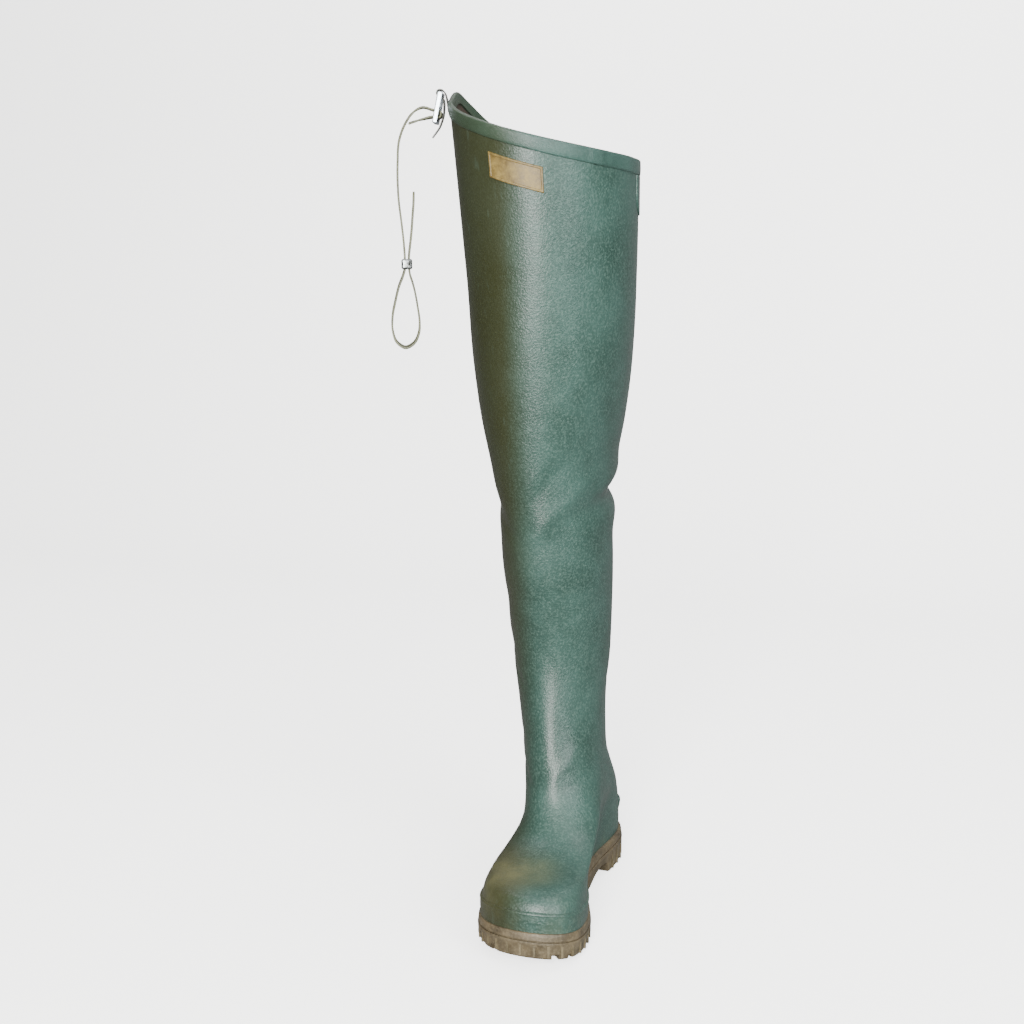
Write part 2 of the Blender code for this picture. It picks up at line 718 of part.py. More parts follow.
def station_at_height(turn, height):
    # Station at which the upper's face passes through a height, by halving.
    low, high = LOWEST_STATION, LEG_HEIGHT
    for _ in range(30):
        middle = (low + high) / 2
        if float(bare_upper(np.array(turn), middle)[2]) < height:
            low = middle
        else:
            high = middle
    return (low + high) / 2


def build_spur(finish):
    # Kick-off ledge at the back of the heel, flat on top and sloped below.
    section = ((0.0, 0.0), (0.35, 0.55), (0.72, 1.0), (1.0, 1.0), (1.0, 0.0))
    rings = []
    for step in range(-SPUR_STEPS, SPUR_STEPS + 1):
        share = step / SPUR_STEPS
        turn = step * 2 * math.pi / AROUND
        taper = 0.35 + 0.65 * (1 - share**4)
        ring = []
        for up, out in section:
            height = SPUR_LEVEL + SPUR_HEIGHT * (up * (0.75 + 0.25 * taper))
            station = station_at_height(turn, height)
            reach = SPUR_SEAT + SPUR_REACH * taper * out
            ring.append(upper_face(np.array(turn), station, reach))
        rings.append(np.array(ring))
    points, faces = loft(rings, caps=True)
    return make_object("heel_spur", points, faces, finish)


# Plane in which the strap hangs: left is away from the shaft, up is +Z
LEFT = np.array([-math.cos(VIEW_TURN), -math.sin(VIEW_TURN), 0.0])
DEEP = np.array([-math.sin(VIEW_TURN), math.cos(VIEW_TURN), 0.0])
UP = np.array([0.0, 0.0, 1.0])

# The buckle's middle, left of and up from the lower end of the hanger on the collar
HANG_TURN = math.radians(105)
HANG_DROP = 0.0120
BUCKLE_AWAY = 0.0106
BUCKLE_OVER = 0.0044
BUCKLE_MIDDLE = (
    collar_point(HANG_TURN, HANG_DROP, 3 * GAP + BINDING + HANGER / 2)
    + LEFT * BUCKLE_AWAY + UP * BUCKLE_OVER
)
MIDDLE_BAR = -0.0060          # up from the buckle's middle
KEEPER_DROP = 0.1500          # buckle's middle down to the keeper's

# Middle lines of the strap and its hanger, chosen by hand: left of and up from the
# buckle's middle. The strap starts at its short end, turns round the middle bar,
# hangs down, loops up and ends in its tip. The hanger starts on the collar, turns
# round the buckle's top bar and ends in its pointed tail.
STRAP_ROUTE = (
    (0.0295, -0.0140), (0.0249, -0.0126), (0.0192, -0.0110), (0.0128, -0.0096), (0.0082, -0.0086),
    (0.0048, -0.0083), (0.0019, -0.0088), (-0.0003, -0.0092), (-0.0019, -0.0086), (-0.0028, -0.0067),
    (-0.0028, -0.0047), (-0.0016, -0.0034), (0.0006, -0.0029), (0.0035, -0.0022), (0.0070, -0.0012),
    (0.0114, 0.0003), (0.0157, 0.0009), (0.0194, -0.0001), (0.0259, -0.0044), (0.0325, -0.0131),
    (0.0365, -0.0210), (0.0395, -0.0301), (0.0415, -0.0516), (0.0415, -0.0833), (0.0384, -0.1150),
    (0.0370, -0.1308), (0.0364, -0.1457), (0.0366, -0.1542), (0.0389, -0.1617), (0.0425, -0.1704),
    (0.0469, -0.1862), (0.0502, -0.2021), (0.0502, -0.2162), (0.0461, -0.2275), (0.0375, -0.2327),
    (0.0290, -0.2284), (0.0237, -0.2179), (0.0228, -0.2068), (0.0242, -0.1941), (0.0285, -0.1704),
    (0.0318, -0.1589), (0.0325, -0.1504), (0.0321, -0.1410), (0.0306, -0.1297), (0.0290, -0.1166),
    (0.0276, -0.1015), (0.0266, -0.0912), (0.0261, -0.0793),
)
HANGER_ROUTE = (
    (-0.0106, -0.0044), (-0.0098, 0.0010), (-0.0091, 0.0056), (-0.0082, 0.0105), (-0.0066, 0.0145),
    (-0.0046, 0.0165), (-0.0026, 0.0170), (-0.0003, 0.0166), (0.0009, 0.0147), (0.0007, 0.0126),
    (-0.0005, 0.0109), (-0.0030, 0.0101), (-0.0052, 0.0085), (-0.0061, 0.0045), (-0.0059, 0.0000),
    (-0.0054, -0.0060), (-0.0034, -0.0130), (-0.0010, -0.0185), (0.0026, -0.0235), (0.0063, -0.0282),
)


def smooth_route(route, steps):
    # Steps from each point of the route to the next, on one smooth curve.
    points = np.array(route)
    run = np.concatenate([[0], np.cumsum(np.linalg.norm(np.diff(points, axis=0), axis=1))])
    at = np.interp(np.arange((len(points) - 1) * steps + 1) / steps, np.arange(len(points)), run)
    return np.stack([curve(run, points[:, 0], at), curve(run, points[:, 1], at)], axis=1)


def ribbon(name, route, steps, width, thick, finish, lean=0.0, taper=None):
    # A flat strip along a route in the strap's plane, its width across that plane.
    # Away from the buckle its width leans, so that its face shows a little.
    path = smooth_route(route, steps)
    samples = len(path)
    along = np.gradient(path, axis=0)
    along /= np.linalg.norm(along, axis=1, keepdims=True)
    rings = []
    for i, (point, run) in enumerate(zip(path, along)):
        middle = BUCKLE_MIDDLE + LEFT * point[0] + UP * point[1]
        forward = LEFT * run[0] + UP * run[1]
        away = float(ease((np.hypot(*point) - 0.010) / 0.020))
        wide = DEEP + (LEFT + UP) * lean * away
        wide = wide - forward * (wide @ forward)
        wide = wide / np.linalg.norm(wide)
        thin = np.cross(forward, wide) * thick / 2
        half = wide * width / 2 * (taper(i / (samples - 1)) if taper else 1.0)
        rings.append(np.array([
            middle + half + thin, middle - half + thin, middle - half - thin, middle + half - thin,
        ]))
    points, faces = loft(rings, caps=True)
    return make_object(name, points, faces, finish)


def build_buckle(finish):
    # Frame with three bars: the hanger goes round the top one, the strap round the middle.
    lean_up = UP * math.cos(BUCKLE_LEAN) - LEFT * math.sin(BUCKLE_LEAN)
    lean_out = LEFT * math.cos(BUCKLE_LEAN) + UP * math.sin(BUCKLE_LEAN)
    half, rail = BUCKLE_DEPTH / 2, BUCKLE_DEPTH / 2 - BUCKLE_RAIL
    end, bar = BUCKLE_HEIGHT / 2, BUCKLE_BAR / 2
    across = (-half, -rail, rail, half)
    up = (-end, -end + 2 * bar, MIDDLE_BAR - bar, MIDDLE_BAR + bar, end - 2 * bar, end)
    slots = {(1, 1), (1, 3)}
    points, faces, index = [], [], {}
    for side in (-1, 1):
        for i, a in enumerate(across):
            for j, h in enumerate(up):
                index[side, i, j] = len(points)
                spot = BUCKLE_MIDDLE + lean_out * side * BUCKLE_THICK / 2 + DEEP * a + lean_up * h
                points.append(spot)
    cells = [(i, j) for i in range(3) for j in range(5) if (i, j) not in slots]
    for i, j in cells:
        for side in (-1, 1):
            corners = ((i, j), (i + 1, j), (i + 1, j + 1), (i, j + 1))
            faces.append(tuple(index[side, a, b] for a, b in corners))
        for (di, dj), (a, b) in (
            ((0, -1), ((i, j), (i + 1, j))), ((1, 0), ((i + 1, j), (i + 1, j + 1))),
            ((0, 1), ((i, j + 1), (i + 1, j + 1))), ((-1, 0), ((i, j), (i, j + 1))),
        ):
            if (i + di, j + dj) not in cells:
                faces.append((index[-1, *a], index[-1, *b], index[1, *b], index[1, *a]))
    frame = make_object("buckle", points, faces, finish)
    soften = frame.modifiers.new("soften", "BEVEL")
    soften.width = BUCKLE_SOFT
    soften.segments = 1
    soften.limit_method = "ANGLE"
    return frame


def build_keeper(finish):
    # A barrel-shaped metal sleeve round both runs of the strap.
    lean = DEEP + LEFT * STRAP_LEAN
    wide = lean / np.linalg.norm(lean)
    out = np.cross(UP, wide)
    middle = BUCKLE_MIDDLE + LEFT * KEEPER_AWAY - UP * KEEPER_DROP
    corner = [math.radians(a) for a in (20, 45, 70)]
    corners = [c + q * math.pi / 2 for q in range(4) for c in corner]

    def ring(half_wide, half_out, height):
        # A rounded rectangle from a squared circle
        points = []
        for a in corners:
            ca, sa = math.cos(a), math.sin(a)
            x = math.copysign(abs(ca) ** 0.2, ca) * half_wide
            y = math.copysign(abs(sa) ** 0.2, sa) * half_out
            points.append(middle + wide * x + out * y + UP * height)
        return np.array(points)

    inner_wide = STRAP_WIDTH / 2 + KEEPER_SLACK
    half = KEEPER_HEIGHT / 2
    outside = [
        ring(inner_wide + KEEPER_WALL * bulge, KEEPER_INSIDE / 2 + KEEPER_WALL * bulge, half * up)
        for bulge, up in ((0.6, -1.0), (1.25, -0.55), (1.5, 0.0), (1.25, 0.55), (0.6, 1.0))
    ]
    inside = [ring(inner_wide, KEEPER_INSIDE / 2, half * up) for up in (1.0, -1.0)]
    points, faces = loft(outside + inside, close_rings=True)
    return make_object("strap_keeper", points, faces, finish)


def tail_taper(share):
    return 1.0 if share < 0.72 else 1.0 - 0.75 * (share - 0.72) / 0.28


def tip_taper(share):
    # Rounded end of the strap
    return 1.0 if share < 0.985 else math.sqrt(max(1 - ((share - 0.985) / 0.015) ** 2 * 0.75, 0.0))


def main():
    for old in list(bpy.data.objects):
        bpy.data.objects.remove(old, do_unlink=True)
    green = material("green rubber", (0.055, 0.115, 0.085), 0.45)
    band_green = material("binding rubber", (0.050, 0.110, 0.085), 0.35)
    tan = material("olive tread rubber", (0.20, 0.155, 0.075), 0.55)
    felt = material("brown insole felt", (0.09, 0.06, 0.035), 0.9)
    gold = material("gold plate rubber", (0.36, 0.26, 0.10), 0.45)
    olive = material("olive strap rubber", (0.10, 0.115, 0.06), 0.45)
    dark = material("dark hanger rubber", (0.02, 0.022, 0.015), 0.5)
    steel = material("nickel steel", (0.55, 0.60, 0.62), 0.3, 1.0)
    build_upper(green)
    build_outsole(tan)
    build_insole(felt)
    build_binding(band_green)
    build_patches(green)
    build_plate(gold)
    build_spur(green)
    build_buckle(steel)
    build_keeper(steel)
    ribbon("strap", STRAP_ROUTE, 2, STRAP_WIDTH, STRAP, olive, STRAP_LEAN, tip_taper)
    ribbon("strap_hanger", HANGER_ROUTE, 2, HANGER_WIDTH, HANGER, dark, 0.0, tail_taper)


main()
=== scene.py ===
import math

import bmesh
import bpy
import numpy as np
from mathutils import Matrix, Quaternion, Vector


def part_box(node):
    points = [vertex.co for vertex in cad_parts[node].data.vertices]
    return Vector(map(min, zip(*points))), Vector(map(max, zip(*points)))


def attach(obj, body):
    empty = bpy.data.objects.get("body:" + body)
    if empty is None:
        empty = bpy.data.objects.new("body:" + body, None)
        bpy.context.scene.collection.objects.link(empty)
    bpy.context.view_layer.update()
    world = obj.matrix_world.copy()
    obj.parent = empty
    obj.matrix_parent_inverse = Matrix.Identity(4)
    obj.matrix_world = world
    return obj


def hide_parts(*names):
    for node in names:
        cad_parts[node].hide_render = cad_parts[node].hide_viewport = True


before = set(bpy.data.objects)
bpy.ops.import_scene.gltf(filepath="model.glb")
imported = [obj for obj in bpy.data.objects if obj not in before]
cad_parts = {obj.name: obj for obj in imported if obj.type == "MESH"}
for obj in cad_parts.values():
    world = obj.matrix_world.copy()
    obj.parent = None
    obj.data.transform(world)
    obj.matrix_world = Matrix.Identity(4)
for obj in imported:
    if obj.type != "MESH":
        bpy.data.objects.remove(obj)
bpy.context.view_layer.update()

print("frame loaded:", len(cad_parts), "nodes")

# The wader's own sizes in metres. Toe along -Y, outer side -X, inner side +X.
# A turn goes round the boot: 0 at the heel, a quarter at the outer side, a half in front.
form = {
    "soleLength": 0.306, "ballWidth": 0.114, "heelSeat": 0.036, "toeSpring": 0.013,
    "legHeight": 0.757, "peakRise": 0.069, "thighWidth": 0.177, "thighDepth": 0.224,
    "ankleHeight": 0.146, "wall": 0.0020, "gap": 0.0003, "heelOverhang": 0.036,
    "weltLedge": 0.0042, "toeBandHeight": 0.0205, "archRise": 0.0125, "topFlat": 0.92,
}
upperLength = form["soleLength"] - 2 * form["weltLedge"]


def table(columns, *rows):
    names = columns.split()
    return {name: np.array([row[i] for row in rows], float) for i, name in enumerate(names)}


outline = table(
    "along outer inner",
    (0.000, 0.000, 0.000), (0.020, 0.190, 0.180), (0.060, 0.292, 0.282), (0.130, 0.345, 0.340),
    (0.220, 0.350, 0.330), (0.340, 0.358, 0.270), (0.450, 0.388, 0.250), (0.560, 0.440, 0.310),
    (0.660, 0.486, 0.431), (0.740, 0.492, 0.496), (0.820, 0.464, 0.524), (0.890, 0.390, 0.513),
    (0.945, 0.280, 0.450), (0.982, 0.132, 0.333), (1.000, -0.108, 0.108),
)
seat = table(
    "along height",
    (-0.05, 1.000), (0.00, 1.000), (0.25, 0.970), (0.45, 0.830), (0.60, 0.735),
    (0.75, 0.730), (0.88, 0.860), (1.00, 1.080), (1.05, 1.180),
)
shank = table(
    "along rise",
    (-0.05, 0.0), (0.245, 0.0), (0.252, 0.92), (0.300, 1.00), (0.350, 0.72), (0.400, 0.16),
    (0.425, 0.0), (1.05, 0.0),
)
foot = table(
    "front back frontRise backRise plan width girth aside",
    (1.000, 0.000, 0.000, 0.000, 1.00, 1.000, 0.470, 0.000),
    (0.995, -0.004, form["toeBandHeight"] / form["ankleHeight"], 0.075, 1.00, 1.000, 0.465, 0.000),
    (0.976, -0.008, 0.205, 0.130, 0.97, 0.985, 0.455, 0.000),
    (0.935, -0.010, 0.250, 0.195, 0.90, 0.955, 0.440, 0.000),
    (0.865, -0.008, 0.274, 0.260, 0.80, 0.920, 0.425, 0.005),
    (0.775, -0.003, 0.292, 0.330, 0.66, 0.880, 0.408, 0.005),
    (0.685, 0.006, 0.320, 0.410, 0.50, 0.840, 0.396, 0.000),
    (0.605, 0.020, 0.382, 0.500, 0.32, 0.805, 0.386, -0.020),
    (0.545, 0.036, 0.505, 0.610, 0.15, 0.785, 0.374, -0.058),
)
shaft = table(
    "height ahead aside width depth",
    (0.193, 0.262, -0.078, 0.472, 0.612), (0.264, 0.218, -0.115, 0.505, 0.626),
    (0.330, 0.204, -0.130, 0.575, 0.628), (0.396, 0.220, -0.130, 0.606, 0.678),
    (0.462, 0.243, -0.130, 0.632, 0.745), (0.528, 0.255, -0.135, 0.634, 0.795),
    (0.594, 0.256, -0.144, 0.680, 0.885), (0.660, 0.268, -0.140, 0.795, 0.940),
    (0.727, 0.292, -0.132, 0.880, 0.950), (0.859, 0.338, -0.112, 0.945, 0.955),
    (1.000, 0.372, -0.118, 0.995, 1.000), (1.100, 0.400, -0.125, 1.030, 1.005),
)
collar = table(
    "turn rise",
    (-180, 0.000), (-150, 0.015), (-120, 0.060), (-90, 0.150), (-60, 0.330), (-30, 0.630),
    (-10, 0.900), (2, 1.000), (15, 0.870), (30, 0.750), (60, 0.510), (90, 0.290),
    (120, 0.130), (150, 0.035), (180, 0.000),
)
# Folds and creases. turn: degrees; height, tall: shares of the leg height; spread: half
# width in degrees; slope: climb in leg heights over a full turn; depth: minus is a ridge.
creases = table(
    "turn height tall spread slope depth",
    (-62, 0.562, 0.0140, 52, 0.10, 0.0080),
    (-58, 0.594, 0.0200, 50, 0.10, -0.0030),
    (-58, 0.530, 0.0200, 50, 0.10, -0.0030),
    (104, 0.562, 0.0180, 32, -0.20, 0.0040),
    (80, 0.395, 0.0160, 36, 0.15, 0.0030),
    (96, 0.352, 0.0140, 30, -0.15, 0.0030),
    (207, 0.545, 0.0170, 34, 0.42, -0.0026),
    (202, 0.590, 0.0180, 28, 0.55, 0.0020),
    (150, 0.520, 0.0120, 24, -0.30, 0.0010),
    (128, 0.312, 0.0070, 20, -0.35, 0.0013),
    (146, 0.372, 0.0110, 24, 0.25, 0.0007),
    (205, 0.190, 0.0130, 22, 0.30, -0.0016),
    (212, 0.158, 0.0120, 30, 0.16, 0.0009),
    (264, 0.196, 0.0100, 28, -0.30, 0.0013),
    (276, 0.150, 0.0090, 26, -0.42, 0.0012),
    (120, 0.176, 0.0080, 28, -0.22, 0.0016),
    (98, 0.205, 0.0080, 26, 0.20, 0.0013),
    (12, 0.215, 0.0090, 42, 0.06, 0.0016),
    (8, 0.262, 0.0100, 38, -0.05, 0.0012),
    (-35, 0.300, 0.0090, 34, 0.15, 0.0013),
)


def curve(knots, values, at):
    at = np.clip(np.asarray(at, float), knots[0], knots[-1])
    slopes = np.gradient(values, knots)
    i = np.clip(np.searchsorted(knots, at, side="right") - 1, 0, len(knots) - 2)
    step = knots[i + 1] - knots[i]
    t = (at - knots[i]) / step
    return (
        (2 * t**3 - 3 * t**2 + 1) * values[i]
        + (t**3 - 2 * t**2 + t) * step * slopes[i]
        + (3 * t**2 - 2 * t**3) * values[i + 1]
        + (t**3 - t**2) * step * slopes[i + 1]
    )


def ease(x):
    x = np.clip(x, 0.0, 1.0)
    return x * x * (3 - 2 * x)


def wrapped(turn):
    return (turn + math.pi) % (2 * math.pi) - math.pi


def seatHeight(ahead):
    return form["heelSeat"] * curve(seat["along"], seat["height"], np.asarray(ahead) / form["soleLength"])


def treadHeight(ahead):
    along = np.asarray(ahead) / form["soleLength"]
    spring = form["toeSpring"] * np.clip((along - 0.68) / 0.32, 0, 1.2) ** 2
    return form["archRise"] * np.interp(along, shank["along"], shank["rise"]) + spring


outlineTurn = np.arccos(1 - 2 * outline["along"])
closedTurn = np.concatenate([-outlineTurn[::-1], outlineTurn[1:]])
closedSide = np.concatenate([outline["inner"][::-1], -outline["outer"][1:]])
closedTurn = np.concatenate([closedTurn[-4:-1] - 2 * math.pi, closedTurn, closedTurn[1:4] + 2 * math.pi])
closedSide = np.concatenate([closedSide[-4:-1], closedSide, closedSide[1:4]])


def solePlan(turn, inset=0.0):
    # side and distance ahead of a point on the sole's outline, moved inwards by inset
    turn = wrapped(np.asarray(turn, float))

    def point(a):
        side = form["ballWidth"] * curve(closedTurn, closedSide, a)
        return side, form["soleLength"] * (1 - np.cos(a)) / 2

    side, ahead = point(turn)
    (sideA, aheadA), (sideB, aheadB) = point(turn - 0.01), point(turn + 0.01)
    run = np.hypot(sideB - sideA, aheadB - aheadA)
    return side + inset * (aheadB - aheadA) / run, ahead - inset * (sideB - sideA) / run


def place(side, ahead, height):
    return np.stack([side, form["heelOverhang"] - ahead, height], axis=-1)


def ringTable():
    rows = []
    ankle, length = form["ankleHeight"], form["soleLength"]
    for i in range(len(foot["front"])):
        front = form["weltLedge"] + upperLength * foot["front"][i]
        rows.append({
            "front": front, "back": form["weltLedge"] + upperLength * foot["back"][i],
            "frontRise": ankle * foot["frontRise"][i], "backRise": ankle * foot["backRise"][i],
            "plan": foot["plan"][i], "width": foot["width"][i],
            "girth": form["ballWidth"] * foot["girth"][i],
            "aside": form["ballWidth"] * foot["aside"][i],
            "frontHeight": float(seatHeight(front)) + ankle * foot["frontRise"][i],
        })
    for i in range(len(shaft["height"])):
        height = form["legHeight"] * shaft["height"][i]
        centre, half = length * shaft["ahead"][i], form["thighDepth"] * shaft["depth"][i] / 2
        rows.append({
            "front": centre + half, "back": centre - half,
            "frontRise": height - float(seatHeight(centre + half)),
            "backRise": height - float(seatHeight(centre - half)),
            "plan": 0.0, "width": foot["width"][-1],
            "girth": form["thighWidth"] * shaft["width"][i] / 2,
            "aside": form["thighWidth"] * shaft["aside"][i], "frontHeight": height,
        })
    stations = [row["frontHeight"] for row in rows]
    for i in range(len(foot["front"]) - 1, -1, -1):
        here, above = rows[i], rows[i + 1]
        run = math.hypot(above["front"] - here["front"], above["frontHeight"] - here["frontHeight"])
        stations[i] = stations[i + 1] - run
    rings = {name: np.array([row[name] for row in rows]) for name in rows[0]}
    rings["station"] = np.array(stations)
    return rings


rings = ringTable()
lowestStation, bandStation = rings["station"][0], rings["station"][1]
crownStart = 0.80 * form["legHeight"]


def bareUpper(turn, station):
    turn = np.asarray(turn, float)
    station = np.asarray(station, float) + 0 * turn
    climb = ease((station - crownStart) / (form["legHeight"] - crownStart))
    frontTurn = np.degrees(wrapped(turn - math.pi / 2))
    at = station + climb * form["peakRise"] * curve(collar["turn"], collar["rise"], frontTurn)
    value = {name: curve(rings["station"], rings[name], at) for name in rings if name != "station"}
    planSide, planAhead = solePlan(turn, form["weltLedge"])
    planShare = (planAhead - form["weltLedge"]) / upperLength
    share = value["plan"] * planShare + (1 - value["plan"]) * (1 - np.cos(turn)) / 2
    ahead = value["back"] + (value["front"] - value["back"]) * share
    side = value["aside"] + value["plan"] * value["width"] * planSide
    side = side - (1 - value["plan"]) * value["girth"] * np.sin(turn)
    rise = value["backRise"] + (value["frontRise"] - value["backRise"]) * share**1.5
    backHeight = seatHeight(value["back"]) + value["backRise"]
    tilted = backHeight + (value["frontHeight"] - backHeight) * share
    onFoot = value["plan"] * (seatHeight(ahead) + rise) + (1 - value["plan"]) * tilted
    return place(side, ahead, np.where(at < form["ankleHeight"], onFoot, at))


waveDepth = 0.00042


def upperRelief(turn, station):
    # depth of the folds, with a slow waviness of the rubber between them
    total = np.zeros(np.broadcast(turn, station).shape)
    for i in range(len(creases["turn"])):
        row = {name: creases[name][i] for name in creases}
        off = np.degrees(wrapped(turn - math.radians(row["turn"])))
        middle = row["height"] + row["slope"] * off / 360
        across = (station / form["legHeight"] - middle) / row["tall"]
        total = total + row["depth"] * np.exp(-across**2 - (off / row["spread"]) ** 2)
    s = station / form["legHeight"]
    wave = np.sin(3 * turn + 9 * s + 0.6) * np.sin(17 * s + 1.1) + 0.7 * np.sin(5 * turn - 21 * s)
    wave = wave + 0.45 * np.sin(2 * turn + 47 * s) * np.sin(7 * turn - 13 * s + 2.0)
    fade = ease((station - 0.03) / 0.10) * (0.35 + 0.65 * ease((0.70 - station) / 0.12))
    return total + waveDepth * wave * fade


def upperFace(turn, station, out=0.0):
    turn = np.asarray(turn, float)
    station = np.asarray(station, float) + 0 * turn
    step = 0.002
    around = bareUpper(turn + step, station) - bareUpper(turn - step, station)
    up = bareUpper(turn, station + step) - bareUpper(turn, station - step)
    normal = np.cross(around, up)
    normal /= np.linalg.norm(normal, axis=-1, keepdims=True)
    return bareUpper(turn, station) + normal * (out - upperRelief(turn, station))[..., None]


def collarPoint(turn, drop, out):
    # over the wall, a drop below the collar's edge
    low = form["legHeight"] * form["topFlat"]
    top = bareUpper(turn, form["legHeight"])
    run = np.linalg.norm(top - bareUpper(turn, low), axis=-1)
    return upperFace(turn, form["legHeight"] - drop * (form["legHeight"] - low) / run, out)


def turns(count):
    return np.arange(count) * 2 * math.pi / count


def linked(name, data):
    item = bpy.data.objects.new(name, data)
    bpy.context.scene.collection.objects.link(item)
    return item


def faceOutward(work, mesh):
    bmesh.ops.recalc_face_normals(work, faces=work.faces)
    work.to_mesh(mesh)
    work.free()


def closedMesh(name, points, faces, materials):
    mesh = bpy.data.meshes.new(name)
    mesh.from_pydata(np.asarray(points, float).tolist(), [], faces)
    work = bmesh.new()
    work.from_mesh(mesh)
    faceOutward(work, mesh)
    for finish in materials:
        mesh.materials.append(finish)
    return mesh


def smooth(mesh, angle):
    mesh.shade_smooth()
    mesh.set_sharp_from_angle(angle=math.radians(angle))


def makePiece(name, points, faces, materials, replaced, faceMaterial=None, angle=50):
    mesh = closedMesh(name, points, faces, materials)
    smooth(mesh, angle)
    if faceMaterial is not None:
        mesh.polygons.foreach_set("material_index", np.asarray(faceMaterial, np.int32))
    settle(linked(name, mesh), replaced)


def settle(piece, replaced):
    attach(piece, "root")
    if replaced:
        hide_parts(*replaced)


def loft(ringList, closeRings=False, caps=False):
    count = len(ringList[0])
    points = np.concatenate(ringList)
    faces = []
    last = len(ringList) if closeRings else len(ringList) - 1
    for r in range(last):
        a, b = r * count, ((r + 1) % len(ringList)) * count
        faces += [(a + i, a + (i + 1) % count, b + (i + 1) % count, b + i) for i in range(count)]
    if caps:
        faces.append(tuple(range(count)))
        faces.append(tuple(range(len(points) - count, len(points))))
    return points, faces


def ladder(first, count, faces):
    # closes a ring whose points pair off across the foot
    for i in range(count // 2):
        a, b = first + i, first + i + 1
        c, d = first + (count - i - 1) % count, first + (count - i) % count
        faces.append((a, b, c) if a == d else (d, a, b) if b == c else (a, b, c, d))


# Shader groups used by several materials
def addNode(tree, kind, inputs=None, **settings):
    node = tree.nodes.new(kind)
    for key, value in settings.items():
        setattr(node, key, value)
    for key, value in (inputs or {}).items():
        if isinstance(value, bpy.types.NodeSocket):
            tree.links.new(value, node.inputs[key])
        else:
            node.inputs[key].default_value = value
    return node


def objectSpot(tree):
    return addNode(tree, "ShaderNodeTexCoord").outputs["Object"]


def rangeMask(tree, value, low, high):
    node = addNode(tree, "ShaderNodeMapRange", {"Value": value, "From Min": low, "From Max": high})
    node.interpolation_type = "SMOOTHSTEP"
    return node.outputs["Result"]


def mathNode(tree, operation, a, b, clamp=False):
    return addNode(tree, "ShaderNodeMath", {0: a, 1: b}, operation=operation, use_clamp=clamp).outputs[0]


def scaled(tree, mask, swing, start):
    return mathNode(tree, "ADD", mathNode(tree, "MULTIPLY", mask, swing), start)


def noise(tree, where, scale, detail, roughness=0.5):
    return addNode(tree, "ShaderNodeTexNoise", {
        "Vector": where, "Scale": scale, "Detail": detail, "Roughness": roughness,
    }).outputs["Fac"]


def newGroup(name, inputs, outputs):
    group = bpy.data.node_groups.new(name, "ShaderNodeTree")
    for label, value in inputs:
        socket = group.interface.new_socket(label, in_out="INPUT", socket_type="NodeSocketFloat")
        socket.default_value = value
    for label in outputs:
        group.interface.new_socket(label, in_out="OUTPUT", socket_type="NodeSocketFloat")
    return group, group.nodes.new("NodeGroupInput"), group.nodes.new("NodeGroupOutput")


def rubberGrainGroup():
    # pebbled skin of moulded rubber: height of the grain, pale specks and slow mottling
    group, given, made = newGroup(
        "rubberGrain", [("Grain Scale", 900.0), ("Speck Scale", 420.0), ("Mottle Scale", 16.0)],
        ["Height", "Specks", "Mottle"],
    )
    where = objectSpot(group)
    cells = addNode(group, "ShaderNodeTexVoronoi", {"Vector": where, "Scale": given.outputs["Grain Scale"]})
    fine = noise(group, where, given.outputs["Grain Scale"], 3.0)
    group.links.new(scaled(group, cells.outputs["Distance"], 0.6, fine), made.inputs["Height"])
    dots = addNode(group, "ShaderNodeTexVoronoi", {"Vector": where, "Scale": given.outputs["Speck Scale"]})
    near = rangeMask(group, dots.outputs["Distance"], 0.50, 0.15)
    some = rangeMask(group, noise(group, where, given.outputs["Speck Scale"], 1.0), 0.42, 0.66)
    group.links.new(mathNode(group, "MULTIPLY", some, scaled(group, near, 0.5, 0.5)), made.inputs["Specks"])
    slow = noise(group, where, given.outputs["Mottle Scale"], 5.0, 0.62)
    group.links.new(rangeMask(group, slow, 0.32, 0.70), made.inputs["Mottle"])
    return group


def wearGroup():
    # dust that settles low on the boot and in blotches, and fine upright scratches
    group, given, made = newGroup(
        "wear", [("Dust Top", 0.09), ("Dust Bottom", 0.0), ("Blotch Scale", 30.0), ("Scratch Scale", 260.0)],
        ["Dust", "Scratches"],
    )
    where = objectSpot(group)
    height = addNode(group, "ShaderNodeSeparateXYZ", {0: where}).outputs["Z"]
    span = addNode(group, "ShaderNodeMapRange", {
        "Value": height, "From Min": given.outputs["Dust Top"], "From Max": given.outputs["Dust Bottom"],
    }).outputs["Result"]
    patchy = rangeMask(group, noise(group, where, given.outputs["Blotch Scale"], 6.0, 0.65), 0.38, 0.66)
    group.links.new(mathNode(group, "MULTIPLY", span, patchy, True), made.inputs["Dust"])
    stretch = addNode(group, "ShaderNodeMapping", {"Vector": where, "Scale": (1.0, 1.0, 0.12)})
    lines = noise(group, stretch.outputs[0], given.outputs["Scratch Scale"], 2.0)
    group.links.new(rangeMask(group, lines, 0.63, 0.74), made.inputs["Scratches"])
    return group


grainGroup, wearGroupTree = rubberGrainGroup(), wearGroup()


def mixColor(tree, fac, a, b):
    node = addNode(tree, "ShaderNodeMix", data_type="RGBA")
    for index, value in ((0, fac), (6, a), (7, b)):
        if isinstance(value, bpy.types.NodeSocket):
            tree.links.new(value, node.inputs[index])
        else:
            node.inputs[index].default_value = value if index == 0 else (*value, 1.0)
    return node.outputs[2]


def tint(tree, color, mask, share, other):
    # turns the colour by a share towards another, where the mask is
    return mixColor(tree, mathNode(tree, "MULTIPLY", mask, share), color, other)


